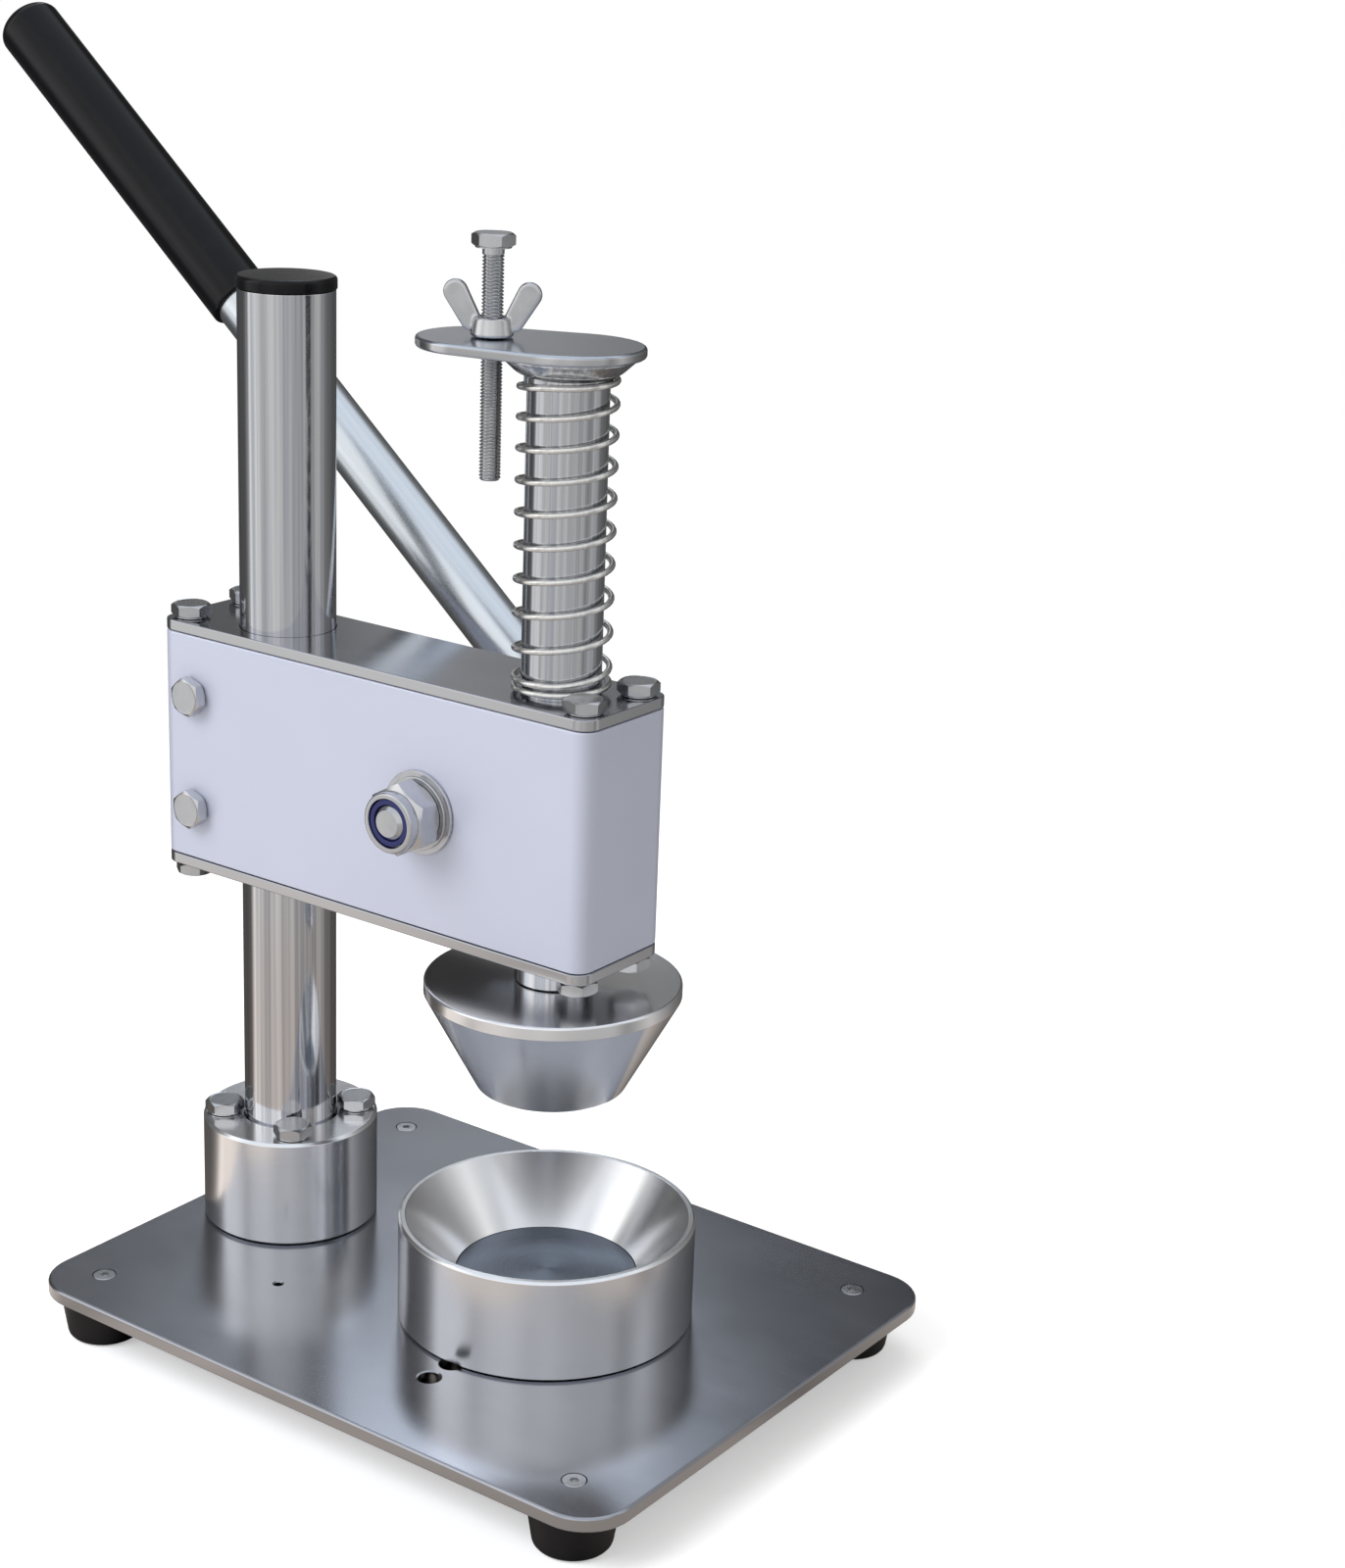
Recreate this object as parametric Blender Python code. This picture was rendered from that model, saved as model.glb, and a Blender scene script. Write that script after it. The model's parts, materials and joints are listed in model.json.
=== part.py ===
"""Hand lever press that shapes tartlet shells, built from its separate pieces.

Lengths are in metres. X runs from the column towards the punch, Y away from the side
with the lock nut, and Z up from the surface that the feet stand on. The origin is
below the middle of the whole press. Empties mark the column, the head, the lever's
shaft, the ram and the stop bolt, and each piece is placed from the one that carries it.
"""

import math

import bmesh
import bpy
from mathutils import Vector

# Clearances shared by all pieces
FIT_GAP = 0.0003
CUT_OVERRUN = 0.003
WELD_DISTANCE = 0.000001
EDGE_BREAK = 0.0006

# Sides of round pieces, as counts
LARGE_ROUND = 32
MEDIUM_ROUND = 24
SCREW_ROUND = 12
SMALL_ROUND = 12
CORNER_STEPS = 6

# Base plate
BASE_LENGTH = 0.287
BASE_WIDTH = 0.227
BASE_THICKNESS = 0.006
BASE_CORNER_RADIUS = 0.020
BASE_REAR_OVERHANG = 0.0372
PILOT_HOLE_RADIUS = 0.0018
PILOT_HOLE_X = 0.0428
PILOT_HOLE_Y = -0.053
DIE_SPARE_HOLE_RADIUS = 0.0045
DIE_SPARE_HOLE_OUTER_Y = -0.0703
DIE_SPARE_HOLE_INNER_Y = -0.0575

# Feet and their screws
FOOT_HEIGHT = 0.019
FOOT_TOP_RADIUS = 0.0172
FOOT_BOTTOM_RADIUS = 0.0145
FOOT_EDGE_RADIUS = 0.002
FOOT_SIDE_INSET = 0.0215
FOOT_REAR_INSET = 0.0215
FOOT_FRONT_INSET = 0.026
FOOT_SCREW_RADIUS = 0.0025
FOOT_SCREW_HEAD_RADIUS = 0.0045
FOOT_SCREW_HEAD_HEIGHT = 0.0022
FOOT_SCREW_LENGTH = 0.016
FOOT_SCREW_SOCKET_RADIUS = 0.0018
FOOT_SCREW_SOCKET_DEPTH = 0.0012

# Hex bolts used on the collar, the covers and the clamp
BOLT_RADIUS = 0.004
BOLT_HEAD_FLATS = 0.014
BOLT_HEAD_HEIGHT = 0.0053
COVER_BOLT_LENGTH = 0.018
CLAMP_NUT_HEIGHT = 0.0065
CLAMP_BOLT_TAIL = 0.0015

# Column and its collar
COLUMN_RADIUS = 0.019
COLUMN_WALL = 0.002
COLUMN_HEIGHT = 0.3885
CAP_RADIUS = 0.0195
CAP_THICKNESS = 0.0053
CAP_PLUG_DEPTH = 0.012
CAP_PLUG_WALL = 0.003
COLLAR_RADIUS = 0.0361
COLLAR_HEIGHT = 0.0458
COLLAR_EDGE_BREAK = 0.001
COLLAR_BOLT_CIRCLE_RADIUS = 0.0273

# Lower die with its loose floor disc
RAM_OFFSET = 0.1375
DIE_RADIUS = 0.0584
DIE_HEIGHT = 0.0419
DIE_MOUTH_RADIUS = 0.0557
DIE_FLOOR_RADIUS = 0.0359
DIE_FLOOR_HEIGHT = 0.0175
DIE_FLOOR_THICKNESS = 0.006
DIE_LEDGE_WIDTH = 0.007
DIE_EDGE_BREAK = 0.0008
DIE_SCREW_RADIUS = 0.003
DIE_SCREW_HEAD_RADIUS = 0.0055
DIE_SCREW_HEAD_HEIGHT = 0.0028
DIE_SCREW_LENGTH = 0.016

# Head: housing block between two cover plates, clamped on the column
HEAD_CLEARANCE = 0.1528
HOUSING_WIDTH = 0.051
HOUSING_HEIGHT = 0.0931
HOUSING_REAR_OVERHANG = 0.0459
HOUSING_FRONT_OVERHANG = 0.0323
HOUSING_CORNER_RADIUS = 0.007
COVER_THICKNESS = 0.0044
COVER_BOLT_END_INSET = 0.0086
COVER_BOLT_SIDE_INSET = 0.0092
CLAMP_BOLT_REACH = 0.0274
CLAMP_BOLT_SPREAD = 0.0235
CLAMP_BOLT_DROP = 0.0012
CLAMP_SLIT_WIDTH = 0.003
POCKET_SIDE_CLEARANCE = 0.002
POCKET_CLEARANCE = 0.001

# Bushes in the head
SHAFT_BUSH_WALL = 0.0027
SHAFT_BUSH_LENGTH = 0.012
RAM_BUSH_WALL = 0.003
RAM_BUSH_LENGTH = 0.009

# Ram with its rack, and the punch below it
RAM_RADIUS = 0.015
RAM_RISE = 0.1243
RACK_FLAT_DEPTH = 0.0002
PUNCH_DROP = 0.0116
PUNCH_RADIUS = 0.0496
PUNCH_TIP_RADIUS = 0.0287
PUNCH_CONE_HEIGHT = 0.0384
PUNCH_LAND_HEIGHT = 0.005
PUNCH_EDGE_BREAK = 0.0008
PUNCH_TIP_BREAK = 0.0014
PUNCH_STUD_RADIUS = 0.006
PUNCH_STUD_REACH = 0.018
RAM_TRAVEL = 0.076

# Rack and pinion teeth
TOOTH_MODULE = 0.002
PINION_TEETH = 33
PINION_WIDTH = 0.010
RACK_SIDE_CLEARANCE = 0.001
ADDENDUM_SHARE = 0.88
DEDENDUM_SHARE = 1.2
BACKLASH = 0.0006
PRESSURE_ANGLE = math.radians(20)
FLANK_STEPS = 3

# Shaft of the lever, with its key, washers and lock nut
SHAFT_RADIUS = 0.010
SHAFT_THREAD_RADIUS = 0.0068
SHAFT_THREAD_CHAMFER = 0.0016
SHAFT_THREAD_TAIL = 0.0004
SHAFT_HUB_DEPTH = 0.034
SHAFT_SHOULDER_INSET = 0.001
KEY_SIZE = 0.006
WASHER_RADIUS = 0.0165
WASHER_THICKNESS = 0.0024
HUB_WASHER_RADIUS = 0.0165
HUB_WASHER_THICKNESS = 0.002
LOCK_NUT_FLATS = 0.025
LOCK_NUT_HEX_HEIGHT = 0.0112
LOCK_NUT_HEIGHT = 0.0155
LOCK_NUT_CROWN_RADIUS = 0.0118
NUT_INSERT_RADIUS = 0.0092
NUT_INSERT_HEIGHT = 0.003

# Lever: hub, tube and grip
LEVER_REST_ANGLE = math.radians(140.3)
LEVER_PLANE_Y = 0.080
LEVER_REACH = 0.4233
HUB_RADIUS = 0.017
HUB_END_WALL = 0.0045
HUB_PIN_RADIUS = 0.0025
LEVER_TUBE_RADIUS = 0.012
LEVER_TUBE_WALL = 0.002
LEVER_SOCKET_FLOOR = 0.007
GRIP_RADIUS = 0.0139
GRIP_LENGTH = 0.1726
GRIP_END_WALL = 0.006
GRIP_DOME_HEIGHT = 0.008
GRIP_DOME_STEPS = 5

# Stop plate on the ram, spring collar, stop bolt and wing nut
STOP_PLATE_THICKNESS = 0.004
STOP_PLATE_RAM_RADIUS = 0.0278
STOP_PLATE_END_RADIUS = 0.024
STOP_PLATE_END_OFFSET = 0.034
STOP_PLATE_YAW = math.radians(16.5)
STOP_BOLT_OFFSET = 0.030
STOP_BOLT_LENGTH = 0.084
STOP_MARGIN = 0.0005
SPRING_COLLAR_HEIGHT = 0.0094
SPRING_COLLAR_NECK_WALL = 0.0008
SPRING_COLLAR_NECK_HEIGHT = 0.00245
SPRING_COLLAR_SEAT_WIDTH = 0.0034
SPRING_COLLAR_SEAT_RISE = 0.0017
SPRING_COLLAR_FLARE_WIDTH = 0.005
SPRING_COLLAR_RIM_HEIGHT = 0.00065
WING_HUB_BASE_RADIUS = 0.008
WING_HUB_TOP_RADIUS = 0.0068
WING_HUB_HEIGHT = 0.007
WING_ROOT_REACH = 0.0078
WING_ROOT_HEIGHT = 0.0055
WING_ROOT_RADIUS = 0.0038
WING_TIP_REACH = 0.0134
WING_TIP_HEIGHT = 0.0154
WING_TIP_RADIUS = 0.0045
WING_THICKNESS = 0.003
WING_YAW = math.radians(30)

# Return spring round the ram
SPRING_WIRE_RADIUS = 0.00115
SPRING_NECK_CLEARANCE = 0.0004
SPRING_TURNS = 10.75
SPRING_BOTTOM_CLOSED_TURNS = 1.45
SPRING_TOP_CLOSED_TURNS = 0.35
SPRING_CLOSED_PITCH = 0.0034
SPRING_UPWARD_BULGE = 0.0029
SPRING_POINTS_PER_TURN = 10
SPRING_NECK_TURNS = 0.6
SPRING_NECK_POINTS_PER_TURN = 30
SPRING_START_ANGLE = math.radians(141.3)

# Finishes: colour, metallic and roughness
FINISHES = {
    "brushed_steel": ((0.50, 0.50, 0.51), 1.0, 0.34),
    "polished_steel": ((0.62, 0.61, 0.60), 1.0, 0.16),
    "turned_aluminium": ((0.78, 0.79, 0.80), 1.0, 0.24),
    "zinc_steel": ((0.66, 0.66, 0.65), 1.0, 0.30),
    "blasted_aluminium": ((0.74, 0.75, 0.84), 0.8, 0.45),
    "black_rubber": ((0.012, 0.012, 0.013), 0.0, 0.60),
    "black_plastic": ((0.010, 0.010, 0.013), 0.0, 0.30),
    "blue_nylon": ((0.020, 0.030, 0.220), 0.0, 0.40),
    "bronze": ((0.55, 0.36, 0.17), 1.0, 0.40),
}


# Places that follow from the sizes above

base_top = FOOT_HEIGHT + BASE_THICKNESS
base_front_x = BASE_LENGTH - BASE_REAR_OVERHANG

cover_top = 2 * COVER_THICKNESS + 2 * FIT_GAP + HOUSING_HEIGHT
housing_bottom = COVER_THICKNESS + FIT_GAP
housing_top = housing_bottom + HOUSING_HEIGHT
housing_front_x = RAM_OFFSET + HOUSING_FRONT_OVERHANG
housing_half_width = HOUSING_WIDTH / 2

tooth_height = (ADDENDUM_SHARE + DEDENDUM_SHARE) * TOOTH_MODULE
addendum = ADDENDUM_SHARE * TOOTH_MODULE
dedendum = DEDENDUM_SHARE * TOOTH_MODULE
tooth_pitch = math.pi * TOOTH_MODULE
pinion_pitch_radius = TOOTH_MODULE * PINION_TEETH / 2
rack_tip = RAM_RADIUS - RACK_FLAT_DEPTH
shaft_x = RAM_OFFSET - (rack_tip - addendum) - pinion_pitch_radius
shaft_z = housing_bottom + HOUSING_HEIGHT / 2

washer_outer = housing_half_width + FIT_GAP + WASHER_THICKNESS
nut_inner = washer_outer + FIT_GAP
nut_outer = nut_inner + LOCK_NUT_HEIGHT
hub_start = housing_half_width + HUB_WASHER_THICKNESS + 2 * FIT_GAP
hub_end = LEVER_PLANE_Y + LEVER_TUBE_RADIUS + HUB_END_WALL
shaft_end = hub_start + SHAFT_HUB_DEPTH

ram_bottom = FIT_GAP - PUNCH_DROP
ram_top = cover_top + RAM_RISE
plate_bottom = ram_top + FIT_GAP
plate_top = plate_bottom + STOP_PLATE_THICKNESS
stop_tip = cover_top + RAM_TRAVEL + STOP_MARGIN

spring_collar_bottom = ram_top - SPRING_COLLAR_HEIGHT
neck_radius = RAM_RADIUS + FIT_GAP + SPRING_COLLAR_NECK_WALL
neck_top = spring_collar_bottom + SPRING_COLLAR_NECK_HEIGHT
coil_radius = neck_radius + SPRING_NECK_CLEARANCE + SPRING_WIRE_RADIUS

foot_places = {
    "rear_near": (-BASE_REAR_OVERHANG + FOOT_REAR_INSET, -BASE_WIDTH / 2 + FOOT_SIDE_INSET),
    "rear_far": (-BASE_REAR_OVERHANG + FOOT_REAR_INSET, BASE_WIDTH / 2 - FOOT_SIDE_INSET),
    "front_near": (base_front_x - FOOT_FRONT_INSET, -BASE_WIDTH / 2 + FOOT_SIDE_INSET),
    "front_far": (base_front_x - FOOT_FRONT_INSET, BASE_WIDTH / 2 - FOOT_SIDE_INSET),
}
collar_bolt_angles = [math.radians(angle) for angle in (45, 135, 225, 315)]
die_screw_places = {
    "front": (RAM_OFFSET + (DIE_RADIUS + DIE_FLOOR_RADIUS) / 2, 0),
    "rear": (RAM_OFFSET - (DIE_RADIUS + DIE_FLOOR_RADIUS) / 2, 0),
}
cover_bolt_places = {
    "rear_near": (-HOUSING_REAR_OVERHANG + COVER_BOLT_END_INSET, -1),
    "rear_far": (-HOUSING_REAR_OVERHANG + COVER_BOLT_END_INSET, 1),
    "front_near": (housing_front_x - COVER_BOLT_END_INSET, -1),
    "front_far": (housing_front_x - COVER_BOLT_END_INSET, 1),
}
cover_bolt_places = {
    place: (x, side * (housing_half_width - COVER_BOLT_SIDE_INSET))
    for place, (x, side) in cover_bolt_places.items()
}
clamp_bolt_heights = {
    "upper": shaft_z - CLAMP_BOLT_DROP + CLAMP_BOLT_SPREAD,
    "lower": shaft_z - CLAMP_BOLT_DROP - CLAMP_BOLT_SPREAD,
}


# Mesh makers

def on_circle(radius, angle):
    return radius * math.cos(angle), radius * math.sin(angle)


def circle_ring(radius, height, count):
    """Points round a circle at one height."""
    return [(*on_circle(radius, math.tau * step / count), height) for step in range(count)]


def hex_radius(flats, angle):
    """Distance from the middle of a hexagon to its side in one direction."""
    sixth = math.tau / 6
    return flats / 2 / math.cos((angle + sixth / 2) % sixth - sixth / 2)


def hex_ring(flats, height, count, crown_radius=None):
    """Points round a hexagon; with a crown, the corners drop on a 30 degree chamfer."""
    ring = []
    for step in range(count):
        angle = math.tau * step / count
        radius = hex_radius(flats, angle)
        drop = 0 if crown_radius is None else (radius - crown_radius) * math.tan(math.radians(30))
        ring.append((*on_circle(radius, angle), height - drop))
    return ring


def lofted(rings, closed=False):
    """Mesh through rings of equally many points, with flat ends unless it closes on itself."""
    mesh = bmesh.new()
    loops = [[mesh.verts.new(point) for point in ring] for ring in rings]
    pairs = list(zip(loops, loops[1:] + loops[:1] if closed else loops[1:]))
    for lower, upper in pairs:
        for step in range(len(lower)):
            after = (step + 1) % len(lower)
            mesh.faces.new((lower[step], lower[after], upper[after], upper[step]))
    if not closed:
        mesh.faces.new(loops[0])
        mesh.faces.new(loops[-1])
    bmesh.ops.recalc_face_normals(mesh, faces=mesh.faces)
    return mesh


def turned(profile, sides=MEDIUM_ROUND):
    """Mesh turned about Z from a closed outline of (radius, height) points."""
    mesh = bmesh.new()
    points = [mesh.verts.new((radius, 0, height)) for radius, height in profile]
    edges = []
    for first, second in zip(points, points[1:] + points[:1]):
        if first.co.x > 0 or second.co.x > 0:
            edges.append(mesh.edges.new((first, second)))
    bmesh.ops.spin(
        mesh, geom=points + edges, axis=(0, 0, 1), cent=(0, 0, 0), angle=math.tau, steps=sides
    )
    bmesh.ops.remove_doubles(mesh, verts=mesh.verts, dist=WELD_DISTANCE)
    bmesh.ops.recalc_face_normals(mesh, faces=mesh.faces)
    return mesh


def cylinder(radius, low, high, sides=MEDIUM_ROUND):
    return lofted([circle_ring(radius, low, sides), circle_ring(radius, high, sides)])


def ring(inner, outer, low, high, sides=MEDIUM_ROUND):
    """Ring with square edges, for bushes."""
    return turned([(inner, low), (outer, low), (outer, high), (inner, high)], sides)


def soft_ring(inner, outer, low, high, sides=MEDIUM_ROUND):
    """Ring with broken outer edges, for tubes and washers."""
    edge = min(EDGE_BREAK, (outer - inner) / 4, (high - low) / 4)
    return turned(
        [
            (inner, low),
            (outer - edge, low),
            (outer, low + edge),
            (outer, high - edge),
            (outer - edge, high),
            (inner, high),
        ],
        sides,
    )


def extruded(outline, low, high):
    """Mesh between two heights over a flat outline of (x, y) points."""
    return lofted([[(x, y, low) for x, y in outline], [(x, y, high) for x, y in outline]])


def box(low, high):
    """Mesh of a box between its lowest and highest corner."""
    outline = [(low[0], low[1]), (high[0], low[1]), (high[0], high[1]), (low[0], high[1])]
    return extruded(outline, low[2], high[2])


def arc(centre, radius, start, end, steps):
    return [
        (
            centre[0] + radius * math.cos(start + (end - start) * step / steps),
            centre[1] + radius * math.sin(start + (end - start) * step / steps),
        )
        for step in range(steps + 1)
    ]


def rounded_rectangle(left, right, half_width, radius):
    """Outline of a plate with four equal round corners."""
    quarter = math.tau / 4
    corners = [
        (right - radius, half_width - radius, 0),
        (left + radius, half_width - radius, quarter),
        (left + radius, -half_width + radius, 2 * quarter),
        (right - radius, -half_width + radius, 3 * quarter),
    ]
    outline = []
    for x, y, start in corners:
        outline += arc((x, y), radius, start, start + quarter, CORNER_STEPS)
    return outline


def two_circle_outline(first, first_radius, second, second_radius):
    """Outline that wraps two circles: round ends joined by the straight sides they share."""
    along = Vector(second) - Vector(first)
    heading = math.atan2(along.y, along.x)
    spread = math.acos((first_radius - second_radius) / along.length)
    steps = 2 * CORNER_STEPS
    near = arc(second, second_radius, heading - spread, heading + spread, steps)
    far = arc(first, first_radius, heading + spread, heading + math.tau - spread, steps)
    return near + far


# Object makers

def material(name):
    """Principled material of one finish, made the first time it is asked for."""
    known = bpy.data.materials.get(name)
    if known:
        return known
    colour, metallic, roughness = FINISHES[name]
    made = bpy.data.materials.new(name)
    made.use_nodes = True
    shader = made.node_tree.nodes["Principled BSDF"]
    shader.inputs["Base Color"].default_value = (*colour, 1)
    shader.inputs["Metallic"].default_value = metallic
    shader.inputs["Roughness"].default_value = roughness
    made.diffuse_color = (*colour, 1)
    return made


def marker(name, parent=None, at=(0, 0, 0)):
    """Empty that carries the pieces of one axis."""
    empty = bpy.data.objects.new(name, None)
    empty.empty_display_size = BOLT_HEAD_FLATS
    empty.location = at
    empty.parent = parent
    bpy.context.scene.collection.objects.link(empty)
    return empty


def placed(name, mesh, parent, at, turn):
    data = bpy.data.meshes.new(name)
    mesh.to_mesh(data)
    mesh.free()
    data.shade_smooth()
    data.set_sharp_from_angle(angle=math.radians(30))
    made = bpy.data.objects.new(name, data)
    made.location = at
    made.rotation_euler = turn
    made.parent = parent
    bpy.context.scene.collection.objects.link(made)
    return made


def piece(name, mesh, finish, parent, at=(0, 0, 0), turn=(0, 0, 0)):
    """One solid piece of the press, in its finish."""
    made = placed(name, mesh, parent, at, turn)
    made.data.materials.append(material(finish))
    return made


def combine(target, mesh, operation, at=(0, 0, 0), turn=(0, 0, 0)):
    """Cuts a hidden shape from a piece, or joins it on, in the piece's own axes."""
    tool = placed(f"{target.name}_{operation.lower()}_{len(target.modifiers)}", mesh, target, at, turn)
    tool.hide_render = True
    tool.display_type = "WIRE"
    step = target.modifiers.new(tool.name, "BOOLEAN")
    step.operation = operation
    step.solver = "EXACT"
    step.object = tool


def cut(target, mesh, at=(0, 0, 0), turn=(0, 0, 0)):
    combine(target, mesh, "DIFFERENCE", at, turn)


def join(target, mesh, at=(0, 0, 0), turn=(0, 0, 0)):
    combine(target, mesh, "UNION", at, turn)


def hex_bolt(length):
    """Bolt along Z with its head above zero and its shank below."""
    crown = BOLT_HEAD_FLATS / 2 - EDGE_BREAK / 2
    return lofted(
        [
            circle_ring(crown, BOLT_HEAD_HEIGHT, SMALL_ROUND),
            hex_ring(BOLT_HEAD_FLATS, BOLT_HEAD_HEIGHT, SMALL_ROUND, crown),
            hex_ring(BOLT_HEAD_FLATS, 0, SMALL_ROUND),
            circle_ring(BOLT_RADIUS, 0, SMALL_ROUND),
            circle_ring(BOLT_RADIUS, EDGE_BREAK - length, SMALL_ROUND),
            circle_ring(BOLT_RADIUS - EDGE_BREAK, -length, SMALL_ROUND),
        ]
    )


def bolt_hole(depth):
    """Cutter for a hex bolt's shank, from above zero down to a depth."""
    return cylinder(BOLT_RADIUS + FIT_GAP, -depth, CUT_OVERRUN, SMALL_ROUND)


def flat_screw(radius, head_radius, head_height, length):
    """Countersunk screw along Z with its flat head face at zero."""
    return turned(
        [
            (0, 0),
            (0, -length),
            (radius - EDGE_BREAK, -length),
            (radius, EDGE_BREAK - length),
            (radius, -head_height - (head_radius - radius) / 4),
            (head_radius, -head_height / 4),
            (head_radius, 0),
        ],
        SCREW_ROUND,
    )


def flat_screw_hole(radius, head_radius, head_height, depth):
    """Cutter that leaves the fit gap round a countersunk screw."""
    wide = radius + FIT_GAP
    head = head_radius + FIT_GAP
    return turned(
        [
            (0, CUT_OVERRUN),
            (0, -depth),
            (wide, -depth),
            (wide, -head_height - (head_radius - radius) / 4 - FIT_GAP),
            (head, -head_height / 4 - FIT_GAP),
            (head, CUT_OVERRUN),
        ],
        SCREW_ROUND,
    )


# Base

def make_base_plate(press):
    outline = rounded_rectangle(
        -BASE_REAR_OVERHANG, base_front_x, BASE_WIDTH / 2, BASE_CORNER_RADIUS
    )
    plate = piece("base_plate", extruded(outline, FOOT_HEIGHT, base_top), "brushed_steel", press)
    through = BASE_THICKNESS + CUT_OVERRUN
    for x, y in foot_places.values():
        screw_hole = flat_screw_hole(
            FOOT_SCREW_RADIUS, FOOT_SCREW_HEAD_RADIUS, FOOT_SCREW_HEAD_HEIGHT, through
        )
        cut(plate, screw_hole, (x, y, base_top))
    for angle in collar_bolt_angles:
        cut(plate, bolt_hole(through), (*on_circle(COLLAR_BOLT_CIRCLE_RADIUS, angle), base_top))
    for x, y in die_screw_places.values():
        screw_hole = flat_screw_hole(
            DIE_SCREW_RADIUS, DIE_SCREW_HEAD_RADIUS, DIE_SCREW_HEAD_HEIGHT, through
        )
        cut(plate, screw_hole, (x, y, FOOT_HEIGHT), (math.pi, 0, 0))
    pilot_hole = cylinder(PILOT_HOLE_RADIUS, -through, CUT_OVERRUN, SMALL_ROUND)
    cut(plate, pilot_hole, (PILOT_HOLE_X, PILOT_HOLE_Y, base_top))
    for y in (DIE_SPARE_HOLE_OUTER_Y, DIE_SPARE_HOLE_INNER_Y):
        spare_hole = cylinder(DIE_SPARE_HOLE_RADIUS, -through, CUT_OVERRUN, MEDIUM_ROUND)
        cut(plate, spare_hole, (RAM_OFFSET, y, base_top))


def make_foot(press, place, x, y):
    """Tapered rubber foot, with the screw that holds it from above."""
    top = FOOT_HEIGHT - FIT_GAP
    screw_reach = FOOT_SCREW_LENGTH - BASE_THICKNESS + FIT_GAP
    profile = [
        (0, 0),
        (FOOT_BOTTOM_RADIUS - FOOT_EDGE_RADIUS, 0),
        (FOOT_BOTTOM_RADIUS, FOOT_EDGE_RADIUS),
        (FOOT_TOP_RADIUS, top - FOOT_EDGE_RADIUS),
        (FOOT_TOP_RADIUS, top),
        (FOOT_SCREW_RADIUS + FIT_GAP, top),
        (FOOT_SCREW_RADIUS + FIT_GAP, top - screw_reach),
        (0, top - screw_reach),
    ]
    piece(f"foot_{place}", turned(profile, MEDIUM_ROUND), "black_rubber", press, (x, y, 0))
    screw = piece(
        f"foot_screw_{place}",
        flat_screw(
            FOOT_SCREW_RADIUS, FOOT_SCREW_HEAD_RADIUS, FOOT_SCREW_HEAD_HEIGHT, FOOT_SCREW_LENGTH
        ),
        "zinc_steel",
        press,
        (x, y, base_top),
    )
    socket = cylinder(FOOT_SCREW_SOCKET_RADIUS, -FOOT_SCREW_SOCKET_DEPTH, CUT_OVERRUN, 6)
    cut(screw, socket)


def make_column(press):
    """Steel tube that stands in the collar, with a plastic cap in its open end."""
    bottom = base_top + FIT_GAP
    top = base_top + COLUMN_HEIGHT
    inside = COLUMN_RADIUS - COLUMN_WALL
    tube = soft_ring(inside, COLUMN_RADIUS, bottom, top, LARGE_ROUND)
    piece("column_tube", tube, "polished_steel", press)
    plug = inside - FIT_GAP
    cap_bottom = top + FIT_GAP
    profile = [
        (0, cap_bottom + CAP_THICKNESS),
        (0, cap_bottom),
        (plug - CAP_PLUG_WALL, cap_bottom),
        (plug - CAP_PLUG_WALL, cap_bottom - CAP_PLUG_DEPTH),
        (plug, cap_bottom - CAP_PLUG_DEPTH),
        (plug, cap_bottom),
        (CAP_RADIUS, cap_bottom),
        (CAP_RADIUS, cap_bottom + CAP_THICKNESS - EDGE_BREAK),
        (CAP_RADIUS - EDGE_BREAK, cap_bottom + CAP_THICKNESS),
    ]
    piece("column_cap", turned(profile, LARGE_ROUND), "black_plastic", press)


def make_collar(press):
    """Aluminium collar bolted to the base plate round the column."""
    bottom = base_top + FIT_GAP
    top = base_top + COLLAR_HEIGHT
    profile = [
        (COLUMN_RADIUS + FIT_GAP, bottom),
        (COLLAR_RADIUS - COLLAR_EDGE_BREAK, bottom),
        (COLLAR_RADIUS, bottom + COLLAR_EDGE_BREAK),
        (COLLAR_RADIUS, top - COLLAR_EDGE_BREAK),
        (COLLAR_RADIUS - COLLAR_EDGE_BREAK, top),
        (COLUMN_RADIUS + FIT_GAP, top),
    ]
    collar = piece("column_collar", turned(profile, LARGE_ROUND), "turned_aluminium", press)
    seat = top + FIT_GAP
    length = COLLAR_HEIGHT + BASE_THICKNESS
    for number, angle in enumerate(collar_bolt_angles, 1):
        x, y = on_circle(COLLAR_BOLT_CIRCLE_RADIUS, angle)
        cut(collar, bolt_hole(COLLAR_HEIGHT + CUT_OVERRUN), (x, y, top))
        turn = (0, 0, angle)
        piece(f"collar_bolt_{number}", hex_bolt(length), "zinc_steel", press, (x, y, seat), turn)


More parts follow.
